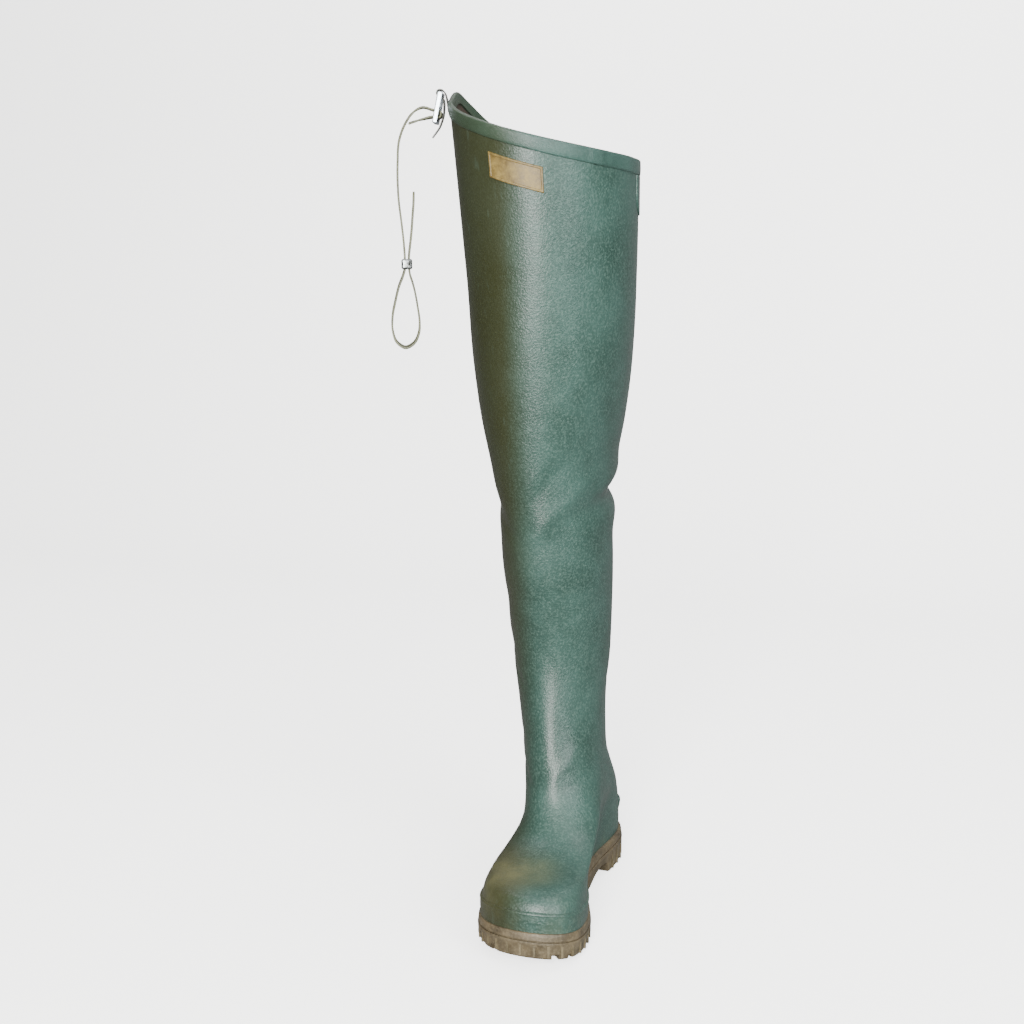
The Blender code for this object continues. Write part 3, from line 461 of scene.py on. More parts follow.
def startMaterial(name, roughness, **values):
    finish = bpy.data.materials.new(name)
    finish.use_nodes = True
    shader = finish.node_tree.nodes["Principled BSDF"]
    shader.inputs["Roughness"].default_value = roughness
    for key, value in values.items():
        shader.inputs[key].default_value = value
    return finish, finish.node_tree


def endMaterial(finish, skin, color, rough, strength, distance):
    # joins up the colour, the roughness where it varies, and the grain's relief
    tree = finish.node_tree
    bump = addNode(tree, "ShaderNodeBump", {
        "Height": skin["Height"], "Strength": strength, "Distance": distance,
    })
    for label, value in (("Base Color", color), ("Roughness", rough), ("Normal", bump.outputs["Normal"])):
        if value is not None:
            tree.links.new(value, tree.nodes["Principled BSDF"].inputs[label])
    return finish


def grainNode(tree, grain=900.0, speck=420.0, mottle=16.0):
    return groupNode(tree, grainGroup, {"Grain Scale": grain, "Speck Scale": speck, "Mottle Scale": mottle})


def groupNode(tree, group, values):
    node = tree.nodes.new("ShaderNodeGroup")
    node.node_tree = group
    for key, value in values.items():
        node.inputs[key].default_value = value
    return node.outputs


def nearPoint(tree, point, stretch, inner, outer):
    # 1 close to a point of the piece, fading to 0; stretch squeezes the distance on each axis
    away = objectSpot(tree)
    for operation, values in (("SUBTRACT", point), ("MULTIPLY", stretch)):
        away = addNode(tree, "ShaderNodeVectorMath", {0: away, 1: values}, operation=operation).outputs[0]
    length = addNode(tree, "ShaderNodeVectorMath", {0: away}, operation="LENGTH").outputs["Value"]
    return rangeMask(tree, length, outer, inner)


# the olive colour is painted shade for the outer side; the others are the rubber's own tones, specks, dust
# and scuff
upperColors = {
    "deep": (0.015, 0.037, 0.029), "mid": (0.026, 0.060, 0.049), "olive": (0.021, 0.020, 0.0045),
    "speck": (0.095, 0.150, 0.125), "dust": (0.12, 0.10, 0.045), "scuff": (0.135, 0.128, 0.055),
}


def rubberMaterial(name, colors, roughness, oliveShare=0.84, dustTop=0.07, scuffed=True, grain=560.0):
    finish, tree = startMaterial(name, roughness, **{
        "Coat Weight": 0.08, "Coat Roughness": 0.25, "IOR": 1.45, "Specular IOR Level": 0.42,
    })
    skin = grainNode(tree, grain, 430.0)
    wear = groupNode(tree, wearGroupTree, {"Dust Top": dustTop})
    color = mixColor(tree, skin["Mottle"], colors["deep"], colors["mid"])
    # painted shade: the outer side, taken towards the camera's left, is darkened and tinted olive
    where = objectSpot(tree)
    turned = addNode(tree, "ShaderNodeMapping", {"Vector": where, "Rotation": (0.0, 0.0, math.radians(-16))})
    split = addNode(tree, "ShaderNodeSeparateXYZ", {0: turned.outputs[0]}).outputs
    paintedShadeSide = rangeMask(tree, split["X"], -0.050, -0.088)
    color = tint(tree, color, skin["Specks"], 0.40, colors["speck"])
    color = tint(tree, color, paintedShadeSide, oliveShare, colors["olive"])
    color = tint(tree, color, wear["Scratches"], 0.10, colors["speck"])
    color = tint(tree, color, wear["Dust"], 0.35, colors["dust"])
    rough = scaled(tree, skin["Mottle"], 0.10, roughness - 0.05)
    if scuffed:
        toe = nearPoint(tree, (-0.020, -0.208, 0.060), (0.85, 0.90, 1.6), 0.008, 0.056)
        patchy = mathNode(tree, "MULTIPLY", toe, mathNode(tree, "ADD", skin["Mottle"], 0.35), True)
        color = tint(tree, color, patchy, 0.62, colors["scuff"])
        rough = scaled(tree, patchy, 0.16, rough)
    return endMaterial(finish, skin, color, rough, 0.60, 0.00055)


def soleMaterial():
    colors = {"low": (0.030, 0.022, 0.011), "high": (0.085, 0.063, 0.032), "pale": (0.17, 0.138, 0.085)}
    finish, tree = startMaterial("soleRubber", 0.55, IOR=1.5)
    skin = grainNode(tree, 700.0, 380.0, 34.0)
    wear = groupNode(tree, wearGroupTree, {"Dust Top": 0.060, "Blotch Scale": 60.0})
    color = mixColor(tree, skin["Mottle"], colors["low"], colors["high"])
    color = tint(tree, color, wear["Dust"], 0.45, colors["pale"])
    color = tint(tree, color, skin["Specks"], 0.4, colors["pale"])
    return endMaterial(finish, skin, color, None, 0.5, 0.0004)


def plainMaterial(name, dark, light, roughness, bump=0.3, grain=900.0, mottle=30.0):
    finish, tree = startMaterial(name, roughness)
    skin = grainNode(tree, grain, 500.0, mottle)
    color = mixColor(tree, skin["Mottle"], dark, light)
    color = tint(tree, color, skin["Specks"], 0.25, tuple(c * 1.8 for c in light))
    rough = scaled(tree, skin["Mottle"], 0.12, roughness - 0.06)
    return endMaterial(finish, skin, color, rough, bump, 0.00025)


def steelMaterial(name, dark, light, roughness):
    finish, tree = startMaterial(name, roughness, Metallic=1.0)
    skin = grainNode(tree, 500.0, 300.0, 90.0)
    wear = groupNode(tree, wearGroupTree, {"Scratch Scale": 900.0})
    color = mixColor(tree, skin["Mottle"], dark, light)
    color = tint(tree, color, wear["Scratches"], 0.3, (0.85, 0.88, 0.9))
    rough = scaled(tree, skin["Mottle"], 0.18, roughness - 0.08)
    return endMaterial(finish, skin, color, rough, 0.15, 0.0001)


green = rubberMaterial("upperRubber", upperColors, 0.40)
# the binding's olive is painted shade as well
bindingGreen = rubberMaterial("bindingRubber", {
    **upperColors, "mid": (0.032, 0.072, 0.060), "speck": (0.045, 0.090, 0.075),
    "olive": (0.024, 0.034, 0.016),
}, 0.34, 0.75, 0.001, False, 1400.0)
patchGreen = rubberMaterial("patchRubber", upperColors, 0.38, 0.85, 0.001, False, 1000.0)
liningBrown = plainMaterial("liningBrown", (0.020, 0.013, 0.008), (0.050, 0.034, 0.020), 0.85, 0.6, 650.0)
soleOlive = soleMaterial()
ribOlive = plainMaterial("ribOlive", (0.050, 0.040, 0.022), (0.125, 0.100, 0.056), 0.5, 0.4, 800.0, 60.0)
darkSteel = steelMaterial("darkSteel", (0.050, 0.050, 0.045), (0.36, 0.38, 0.38), 0.26)
feltBrown = plainMaterial("insoleFelt", (0.040, 0.026, 0.015), (0.085, 0.058, 0.034), 0.95, 0.9, 420.0)
plateGold = plainMaterial(
    "plateGold", (0.070, 0.044, 0.009), (0.155, 0.108, 0.027), 0.50, 0.30, 1100.0, 95.0
)
strapOlive = plainMaterial("strapRubber", (0.045, 0.048, 0.022), (0.095, 0.098, 0.050), 0.48, 0.35, 1200.0)
# painted shade: the hanger's rubber is coloured near black for the shadow it hangs in, darker than the
# strap's olive
hangerPaintedShade = plainMaterial("hangerRubberPaintedShade", (0.010, 0.011, 0.008), (0.026, 0.026, 0.018), 0.42, 0.3, 1200.0)
steel = steelMaterial("nickelSteel", (0.36, 0.41, 0.46), (0.60, 0.66, 0.70), 0.32)
print("materials made")


# Upper: outer face, inner face and the margin turned in under the foot
upperSettings = {
    "around": 180, "rows": 350, "insideRows": 70, "bandBevel": 0.0016, "toeBand": 0.0017,
    "bandBead": 0.0005, "beadWide": 0.0010, "beadDrop": 0.0011, "lastingMargin": 0.012,
}


def toeBand(turn, station):
    # the band's step and bead; it fades out towards the heel
    s = upperSettings
    share = ease(((1 - np.cos(turn)) / 2 - 0.42) / 0.25)
    edge = bandStation - s["bandBevel"]
    step = 1 - ease((station - edge) / s["bandBevel"])
    bead = np.exp(-(((station - edge + s["beadDrop"]) / s["beadWide"]) ** 2))
    return share * (s["toeBand"] * step + s["bandBead"] * bead)


def makeUpper():
    turn = turns(upperSettings["around"])
    stations = np.linspace(lowestStation, form["legHeight"], upperSettings["rows"])
    nearBand = np.linspace(bandStation - 0.004, bandStation + 0.0015, 22)
    stations = np.sort(np.concatenate([stations, nearBand]))
    grid = upperFace(turn[None, :], stations[:, None], toeBand(turn[None, :], stations[:, None]))
    floorLevel = seatHeight(form["heelOverhang"] - grid[..., 1]) + form["gap"]
    grid[..., 2] = np.maximum(grid[..., 2], floorLevel)
    inside = np.linspace(bandStation, form["legHeight"], upperSettings["insideRows"])
    wall, tucked = form["wall"], form["weltLedge"] + upperSettings["lastingMargin"]
    innerGrid = upperFace(turn[None, :], inside[:, None], -wall)
    margin = []
    for inset, lift in ((tucked, 0.0), (tucked, wall), (form["weltLedge"] + wall, wall)):
        side, ahead = solePlan(turn, inset)
        margin.append(place(side, ahead, seatHeight(ahead) + form["gap"] + lift))
    ringList = list(grid[::-1]) + margin + list(innerGrid)
    points, faces = loft(ringList, closeRings=True)
    count = len(turn)
    marks = np.zeros(len(faces), np.int32)
    marks[(len(grid) + 1) * count : (len(ringList) - 1) * count] = 1
    makePiece("wader_upper", points, faces, [green, liningBrown], ["upper"], marks, 60)


makeUpper()
print("upper made")


insoleSettings = {"around": 120, "thick": 0.0035, "edge": 0.0009, "slack": 0.0009}


def makeInsole():
    turn = turns(insoleSettings["around"])
    lift, thick, edge = 2 * form["gap"] + form["wall"], insoleSettings["thick"], insoleSettings["edge"]
    inset = form["weltLedge"] + form["wall"] + insoleSettings["slack"]
    ringList = []
    for k in range(9):
        angle = math.pi * k / 8
        side, ahead = solePlan(turn, inset + edge * (1 - math.sin(angle)))
        ringList.append(place(side, ahead, seatHeight(ahead) + lift + thick * (1 - math.cos(angle)) / 2))
    points, faces = loft(ringList)
    ladder(0, len(turn), faces)
    ladder(8 * len(turn), len(turn), faces)
    makePiece("felt_insole", points, faces, [feltBrown], ["insole"], angle=60)


makeInsole()


# Outsole: sloped welt strip, groove, lip and tapered side, with channels cut across the tread
soleSettings = {
    "around": 400, "weltBand": 0.0078, "groove": 0.0011, "grooveDepth": 0.0019,
    "lugDepth": 0.0052, "lugChannel": 0.0074, "lugPitch": 0.0205,
    "heelStart": 0.072, "frontStart": 0.455, "toeNotches": (0.868, 0.925, 0.972), "notchDepth": 0.015,
    "channelBend": 0.006, "cutReach": 0.004, "cutLow": -0.01,
    "ribWidth": 0.0024, "ribDepth": 0.0020, "ribHeight": 0.010, "ribGap": 0.0137, "ribInset": 0.0012,
    "ribFoot": 0.0022, "ribHead": 0.0030, "bareShank": (0.25, 0.42),
}


def prism(work, corners, spotAhead):
    # from below the sole up to the channels' floor
    high = float(treadHeight(spotAhead)) + soleSettings["lugDepth"]
    bottom, top = (
        [work.verts.new((side, form["heelOverhang"] - ahead, level)) for side, ahead in corners]
        for level in (soleSettings["cutLow"], high)
    )
    for i in range(len(corners)):
        j = (i + 1) % len(corners)
        work.faces.new((bottom[i], bottom[j], top[j], top[i]))
    work.faces.new(bottom[::-1])
    work.faces.new(top)


def edgeFrame(turn):
    # a point of the sole's outline, the direction inwards from it and the one along it
    step = 0.001
    spot = np.array(solePlan(turn))
    inward = (np.array(solePlan(turn, step)) - spot) / step
    return spot, inward, np.array([-inward[1], inward[0]])


def turnAt(along, innerSide):
    turn = math.acos(1 - 2 * along)
    return -turn if innerSide else turn


def addChannels(work):
    s = soleSettings
    pitch, half = s["lugPitch"] / form["soleLength"], s["lugChannel"] / 2
    bend, reach = s["channelBend"], s["cutReach"]
    spots = [s["heelStart"] + i * pitch for i in range(3)]
    spots += [s["frontStart"] + i * pitch for i in range(6)]
    for along in spots:
        ahead = along * form["soleLength"]
        outer, inner = (solePlan(turnAt(along, innerSide))[0] for innerSide in (False, True))
        middle = (outer + inner) / 2
        corners = [
            (outer - reach, ahead - half), (middle, ahead - half + bend), (inner + reach, ahead - half),
            (inner + reach, ahead + half), (middle, ahead + half + bend), (outer - reach, ahead + half),
        ]
        prism(work, corners, ahead)
    for along in s["toeNotches"]:
        for innerSide in (False, True):
            spot, inward, forward = edgeFrame(turnAt(along, innerSide))
            start, end, aside = spot - inward * reach, spot + inward * s["notchDepth"], forward * half
            prism(work, (start - aside, end - aside, end + aside, start + aside), spot[1])


def makeOutsole():
    turn = turns(soleSettings["around"])
    top, deep = soleSettings["weltBand"], soleSettings["grooveDepth"]
    low = top + soleSettings["groove"]
    # inset and height of each ring, counted from the tread below and from the seat above
    treadSteps = ((0.0042, 0.0), (0.0032, 0.0003), (0.0024, 0.0011), (0.0019, 0.0024))
    seatSteps = (
        (0.0008, -low - 0.0052), (0.0003, -low - 0.0034), (-0.0001, -low - 0.0020), (0.0000, -low - 0.0007),
        (0.0005, -low - 0.0001), (deep, -low + 0.0002), (deep, -top - 0.0002), (0.0009, -top + 0.0001),
        (0.0005, -top + 0.0006), (0.0009, -0.0030), (0.0014, -0.0010), (0.0020, -0.0003), (0.0026, 0.0),
    )
    ringList = []
    for base, steps in ((treadHeight, treadSteps), (seatHeight, seatSteps)):
        for inset, lift in steps:
            side, ahead = solePlan(turn, inset)
            ringList.append(place(side, ahead, base(ahead) + lift))
    points, faces = loft(ringList)
    ladder(0, len(turn), faces)
    ladder((len(ringList) - 1) * len(turn), len(turn), faces)
    mesh = bpy.data.meshes.new("treadChannels")
    work = bmesh.new()
    addChannels(work)
    faceOutward(work, mesh)
    cutter = linked("treadChannels", mesh)
    blank = linked("soleBlank", closedMesh("soleBlank", points, faces, [soleOlive]))
    cut = blank.modifiers.new("channels", "BOOLEAN")
    cut.operation, cut.solver, cut.object = "DIFFERENCE", "EXACT", cutter
    piece = bake(blank, "lug_outsole", 32)
    bpy.data.objects.remove(cutter, do_unlink=True)
    settle(piece, ["outsole"])


def bake(source, name, angle):
    # the evaluated shape as a plain mesh of its own
    graph = bpy.context.evaluated_depsgraph_get()
    mesh = bpy.data.meshes.new_from_object(source.evaluated_get(graph))
    mesh.name = name
    smooth(mesh, angle)
    bpy.data.objects.remove(source, do_unlink=True)
    return linked(name, mesh)


def storedVector(tree, label):
    node = addNode(tree, "GeometryNodeInputNamedAttribute", {"Name": label}, data_type="FLOAT_VECTOR")
    return node.outputs["Attribute"]


# Upright ribs on the sole's side, set along its outline
def ribTree(finish):
    tree = bpy.data.node_groups.new("ribsOnOutline", "GeometryNodeTree")
    tree.interface.new_socket("Geometry", in_out="INPUT", socket_type="NodeSocketGeometry")
    for label in ("Rib Width", "Rib Depth", "Rib Height"):
        tree.interface.new_socket(label, in_out="INPUT", socket_type="NodeSocketFloat")
    tree.interface.new_socket("Geometry", in_out="OUTPUT", socket_type="NodeSocketGeometry")
    given, made = tree.nodes.new("NodeGroupInput"), tree.nodes.new("NodeGroupOutput")
    size = addNode(tree, "ShaderNodeCombineXYZ", {
        "X": given.outputs["Rib Depth"], "Y": given.outputs["Rib Width"], "Z": given.outputs["Rib Height"],
    })
    bar = addNode(tree, "GeometryNodeMeshCube", {
        "Size": size.outputs[0], "Vertices X": 2, "Vertices Y": 4, "Vertices Z": 2,
    })
    turned = addNode(tree, "FunctionNodeAlignRotationToVector", {
        "Vector": storedVector(tree, "facing"),
    }, axis="X", pivot_axis="Z")
    spots = addNode(tree, "GeometryNodeMeshToPoints", {"Mesh": given.outputs["Geometry"]})
    copies = addNode(tree, "GeometryNodeInstanceOnPoints", {
        "Points": spots.outputs[0], "Instance": bar.outputs["Mesh"],
        "Rotation": turned.outputs[0], "Scale": storedVector(tree, "tallness"),
    })
    real = addNode(tree, "GeometryNodeRealizeInstances", {"Geometry": copies.outputs[0]})
    painted = addNode(tree, "GeometryNodeSetMaterial", {"Geometry": real.outputs[0]})
    painted.inputs["Material"].default_value = finish
    tree.links.new(painted.outputs[0], made.inputs[0])
    return tree


def makeRibs():
    s = soleSettings
    fine = np.linspace(0, 2 * math.pi, 1441)
    side, ahead = solePlan(fine)
    run = np.concatenate([[0], np.cumsum(np.hypot(np.diff(side), np.diff(ahead)))])
    count = int(run[-1] / s["ribGap"])
    spots, facings, tall = [], [], []
    for k in range(count):
        turn = float(np.interp((k + 0.5) * run[-1] / count, run, fine))
        spot, inward, _ = edgeFrame(turn)
        if s["bareShank"][0] < spot[1] / form["soleLength"] < s["bareShank"][1]:
            continue
        low = float(treadHeight(spot[1])) + s["ribFoot"]
        high = float(seatHeight(spot[1])) - s["weltBand"] - s["groove"] - s["ribHead"]
        middle = spot + inward * s["ribInset"]
        spots.append(place(middle[0], middle[1], (low + high) / 2))
        facings.append((-inward[0], inward[1], 0.0))
        tall.append((1.0, 1.0, (high - low) / s["ribHeight"]))
    mesh = bpy.data.meshes.new("ribSpots")
    mesh.from_pydata([tuple(map(float, p)) for p in spots], [], [])
    for label, values in (("facing", facings), ("tallness", tall)):
        store = mesh.attributes.new(label, "FLOAT_VECTOR", "POINT")
        store.data.foreach_set("vector", np.array(values, np.float32).ravel())
    holder = linked("ribSpots", mesh)
    modifier = holder.modifiers.new("ribs", "NODES")
    modifier.node_group = ribTree(ribOlive)
    ribSizes = {"Rib Width": s["ribWidth"], "Rib Depth": s["ribDepth"], "Rib Height": s["ribHeight"]}
    for item in modifier.node_group.interface.items_tree:
        if item.name in ribSizes:
            modifier[item.identifier] = ribSizes[item.name]
    settle(bake(holder, "sole_ribs", 30), [])


makeOutsole()
makeRibs()
print("sole made")


# Binding folded over the collar's edge
bindingSettings = {
    "around": 240, "width": 0.0130, "thick": 0.0013, "lapAt": 232, "lapHalf": 0.09, "lapThick": 0.0007,
    "lapFade": 0.02, "fold": 0.0019, "bulge": 0.00025,
}


def makeBinding():
    s = bindingSettings
    turn = turns(s["around"])
    off = np.abs(wrapped(turn - math.radians(s["lapAt"])))
    lap = s["lapThick"] * ease((s["lapHalf"] - off) / s["lapFade"] + 0.5)
    width, thick, gap, wall = s["width"], s["thick"], form["gap"], form["wall"]
    outside, inside = gap + thick, -wall - gap - thick
    middle, radius = (outside + inside) / 2, (outside - inside) / 2
    section = [
        (width, -0.0002), (width, outside * 0.55),
        (width - 0.0005, outside * 0.85), (width - 0.0013, outside),
    ]
    for share in (0.7, 0.45, 0.2):
        section.append((width * share, outside + s["bulge"] * math.sin(math.pi * share)))
    for k in range(9):
        angle = math.pi * k / 8
        section.append((-s["fold"] * math.sin(angle), middle + radius * math.cos(angle)))
    section += [(width * 0.5, inside), (width - 0.001, inside), (width, -wall - gap)]
    ringList = []
    for drop, out in section:
        ring = collarPoint(turn, max(drop, 0.0), out + (lap if out > 0 else 0 * lap))
        ring[:, 2] -= min(drop, 0.0)
        ringList.append(ring)
    points, faces = loft(ringList, closeRings=True)
    makePiece("collar_edge", points, faces, [bindingGreen], ["collar_binding"])


makeBinding()


def wallRadius(turn):
    step, drop = 0.01, 0.02
    a, b = (collarPoint(turn + side * step, drop, 0.0) for side in (-1, 1))
    return float(np.linalg.norm(b - a)) / (2 * step)


def slab(front, back, rows, columns):
    # front and back grids joined round their rims
    size = rows * columns
    faces = []
    for r in range(rows - 1):
        for c in range(columns - 1):
            a = r * columns + c
            quad = (a, a + 1, a + columns + 1, a + columns)
            faces += [quad, tuple(size + i for i in reversed(quad))]
    rim = list(range(columns)) + [r * columns + columns - 1 for r in range(1, rows)]
    rim += [(rows - 1) * columns + c for c in range(columns - 2, -1, -1)]
    rim += [r * columns for r in range(rows - 2, 0, -1)]
    for i in range(len(rim)):
        a, b = rim[i], rim[(i + 1) % len(rim)]
        faces.append((a, b, size + b, size + a))
    return np.concatenate([front, back]), faces


slabSunk = 0.0003


def collarSlab(name, turn, drop, out, finish, node):
    # a slab on the wall, its back sunk a little into the rubber
    front, back = (collarPoint(turn, drop, level).reshape(-1, 3) for level in (out, -slabSunk))
    points, faces = slab(front, back, *turn.shape)
    makePiece(name, points, faces, [finish], [node])


def endDense(count):
    # from -1 to 1, closer together towards both ends
    return np.sin(np.linspace(-1, 1, count) * math.pi / 2)


# Tongues under the binding: a wide one inside and a narrow one under the outer peak
patchSettings = {
    "inner_tongue": {"turn": 286, "width": 0.044, "high": 0.052, "node": "inner_patch"},
    "outer_tongue": {"turn": 96, "width": 0.034, "high": 0.060, "node": "outer_patch"},
    "thick": 0.0013, "edge": 0.0009, "rows": 60, "columns": 44,
}


def makePatch(name):
    item = patchSettings[name]
    middle, width, high = math.radians(item["turn"]), item["width"], item["high"]
    low = bindingSettings["width"] + 2 * form["gap"]
    straight = high - width / 2
    share = np.linspace(0, 1, patchSettings["rows"])[:, None]
    angle = np.clip((share - 0.4) / 0.6, 0, 1) * math.pi / 2 * 0.985
    drop = np.where(share < 0.4, low + (straight - low) * share / 0.4, straight + width / 2 * np.sin(angle))
    half = width / 2 * np.cos(angle)
    across = endDense(patchSettings["columns"])[None, :] * half
    edge = np.minimum(half - np.abs(across), high - drop)
    soft = np.sqrt(np.clip(edge / patchSettings["edge"], 0, 1))
    turn, drop = middle + across / wallRadius(middle), drop + 0 * across
    out = patchSettings["thick"] * (0.35 + 0.65 * soft)
    collarSlab(name, turn, drop, out, patchGreen, item["node"])


makePatch("inner_tongue")
makePatch("outer_tongue")


# Blank name plate with a raised rim
plateSettings = {
    "turn": 182, "width": 0.054, "height": 0.0230, "drop": 0.026, "thick": 0.0012,
    "rim": 0.0021, "raised": 0.0007, "edge": 0.0006, "columns": 90, "rows": 44,
}


def makePlate():
    s = plateSettings
    middle = math.radians(s["turn"])
    v = endDense(s["rows"])[:, None] * s["height"] / 2
    u = endDense(s["columns"])[None, :] * s["width"] / 2
    edge = np.maximum(np.minimum(s["width"] / 2 - np.abs(u), s["height"] / 2 - np.abs(v)), 0.0)
    soft, rim = np.sqrt(np.minimum(edge / s["edge"], 1.0)), ease((s["rim"] - edge) / s["edge"] + 0.5)
    turn, drop = middle + u / wallRadius(middle) + 0 * v, s["drop"] + s["height"] / 2 + v + 0 * u
    out = s["thick"] * (0.4 + 0.6 * soft) + s["raised"] * rim * soft
    collarSlab("blank_plate", turn, drop, out, plateGold, "name_plate")


makePlate()


# Kick-off ledge behind the heel
spurSettings = {"reach": 0.0070, "height": 0.0150, "level": 0.0490, "halfTurn": 31, "columns": 60}
# the ledge's section from its foot up: shares of its height and of its reach
spurProfile = (
    (0.0, -0.10), (0.06, 0.12), (0.20, 0.34), (0.36, 0.58), (0.54, 0.82), (0.70, 0.96), (0.82, 1.02),
    (0.92, 1.0), (0.985, 0.90), (1.0, 0.74), (0.985, 0.45), (0.97, 0.2), (0.96, -0.10),
)


def stationAtHeight(turn, height):
    # by halving, for whole arrays
    low, high = lowestStation + 0 * height, form["legHeight"] + 0 * height
    for _ in range(26):
        middle = (low + high) / 2
        under = bareUpper(turn, middle)[..., 2] < height
        low, high = np.where(under, middle, low), np.where(under, high, middle)
    return (low + high) / 2


def makeSpur():
    s = spurSettings
    share = np.linspace(-1, 1, s["columns"] + 1)[:, None]
    taper = np.sqrt(np.maximum(1 - np.abs(share) ** 4, 0.0))
    rise, out = (np.array([row[i] for row in spurProfile])[None, :] for i in (0, 1))
    turn = np.radians(share * s["halfTurn"]) + 0 * rise
    station = stationAtHeight(turn, s["level"] + s["height"] * rise * (0.78 + 0.22 * taper))
    points, faces = loft(list(upperFace(turn, station, s["reach"] * taper * out)), caps=True)
    makePiece("kick_ledge", points, faces, [green], ["heel_spur"])


makeSpur()
print("trim made")


# Strap, hanger, buckle and keeper, in the plane in which the strap hangs
viewTurn = math.radians(16)
left = np.array([-math.cos(viewTurn), -math.sin(viewTurn), 0.0])
deep = np.array([-math.sin(viewTurn), math.cos(viewTurn), 0.0])
up = np.array([0.0, 0.0, 1.0])
buckleLow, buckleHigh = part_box("buckle")
buckleMiddle = (np.array(buckleLow) + np.array(buckleHigh)) / 2
strapSettings = {
    "width": 0.0120, "thick": 0.0020, "lean": 0.16, "leanStart": 0.010, "leanRun": 0.020, "steps": 9,
}
hangerSettings = {"width": 0.0110, "thick": 0.0014, "steps": 9}
# left of and up from the buckle's middle, in metres
strapRoute = (
    (0.0295, -0.0140), (0.0249, -0.0126), (0.0192, -0.0110), (0.0128, -0.0096), (0.0082, -0.0086),
    (0.0048, -0.0083), (0.0019, -0.0088), (-0.0003, -0.0092), (-0.0019, -0.0086), (-0.0028, -0.0067),
    (-0.0028, -0.0047), (-0.0016, -0.0034), (0.0006, -0.0029), (0.0035, -0.0022), (0.0070, -0.0012),
    (0.0114, 0.0003), (0.0157, 0.0009), (0.0194, -0.0001), (0.0259, -0.0044), (0.0325, -0.0131),
    (0.0365, -0.0210), (0.0395, -0.0301), (0.0415, -0.0516), (0.0415, -0.0833), (0.0384, -0.1150),
    (0.0370, -0.1308), (0.0364, -0.1457), (0.0366, -0.1542), (0.0389, -0.1617), (0.0425, -0.1704),
    (0.0469, -0.1862), (0.0502, -0.2021), (0.0502, -0.2162), (0.0461, -0.2275), (0.0375, -0.2327),
    (0.0290, -0.2284), (0.0237, -0.2179), (0.0228, -0.2068), (0.0242, -0.1941), (0.0285, -0.1704),
    (0.0318, -0.1589), (0.0325, -0.1504), (0.0321, -0.1410), (0.0306, -0.1297), (0.0290, -0.1166),
    (0.0276, -0.1015), (0.0266, -0.0912), (0.0261, -0.0793),
)
hangerRoute = (
    (-0.0106, -0.0044), (-0.0098, 0.0010), (-0.0091, 0.0056), (-0.0082, 0.0105), (-0.0066, 0.0145),
    (-0.0046, 0.0165), (-0.0026, 0.0170), (-0.0003, 0.0166), (0.0009, 0.0147), (0.0007, 0.0126),
    (-0.0005, 0.0109), (-0.0030, 0.0101), (-0.0052, 0.0085), (-0.0061, 0.0045), (-0.0059, 0.0000),
    (-0.0054, -0.0060), (-0.0034, -0.0130), (-0.0010, -0.0185), (0.0026, -0.0235), (0.0063, -0.0282),
)


def smoothRoute(route, steps):
    points = np.array(route)
    run = np.concatenate([[0], np.cumsum(np.linalg.norm(np.diff(points, axis=0), axis=1))])
    at = np.interp(np.arange((len(points) - 1) * steps + 1) / steps, np.arange(len(points)), run)
    return np.stack([curve(run, points[:, 0], at), curve(run, points[:, 1], at)], axis=1)


def ribbon(name, route, settings, finish, node, taper):
    path = smoothRoute(route, settings["steps"])
    along = np.gradient(path, axis=0)
    along /= np.linalg.norm(along, axis=1, keepdims=True)
    # a flat section with rounded edges and a shallow ridge along each edge
    edge = ((1.0, 0.0), (0.985, 0.55), (0.94, 0.92), (0.88, 1.0), (0.80, 0.92), (0.74, 0.80))
    section = tuple((-a, b) for a, b in edge) + ((0.0, 0.80),) + edge[::-1]
    section += tuple((-a, -b) for a, b in section[1:-1])
    ringList = []
    for i, (point, run) in enumerate(zip(path, along)):
        middle = buckleMiddle + left * point[0] + up * point[1]
        forward = left * run[0] + up * run[1]
        away = float(ease((np.hypot(*point) - strapSettings["leanStart"]) / strapSettings["leanRun"]))
        wide = deep + (left + up) * settings.get("lean", 0.0) * away
        wide = wide - forward * (wide @ forward)
        wide = wide / np.linalg.norm(wide)
        thin = np.cross(forward, wide) * settings["thick"] / 2
        half = wide * settings["width"] / 2 * taper(i / (len(path) - 1))
        ringList.append(np.array([middle + half * a + thin * b for a, b in section]))
    points, faces = loft(ringList, caps=True)
    makePiece(name, points, faces, [finish], [node], angle=40)


def roundTip(share):
    return math.sqrt(max(1 - (max(share - 0.985, 0.0) / 0.015) ** 2 * 0.97, 0.02))


def pointedTail(share):
    return 1.0 - 0.75 * max(share - 0.72, 0.0) / 0.28


ribbon("waist_strap", strapRoute, strapSettings, strapOlive, "strap", roundTip)
ribbon("strap_loop", hangerRoute, hangerSettings, hangerPaintedShade, "strap_hanger", pointedTail)


buckleSettings = {
    "height": 0.0300, "depth": 0.0200, "thick": 0.0052, "rail": 0.0032, "bar": 0.0030,
    "middleBar": -0.0060, "lean": 12, "soft": 0.0010,
}


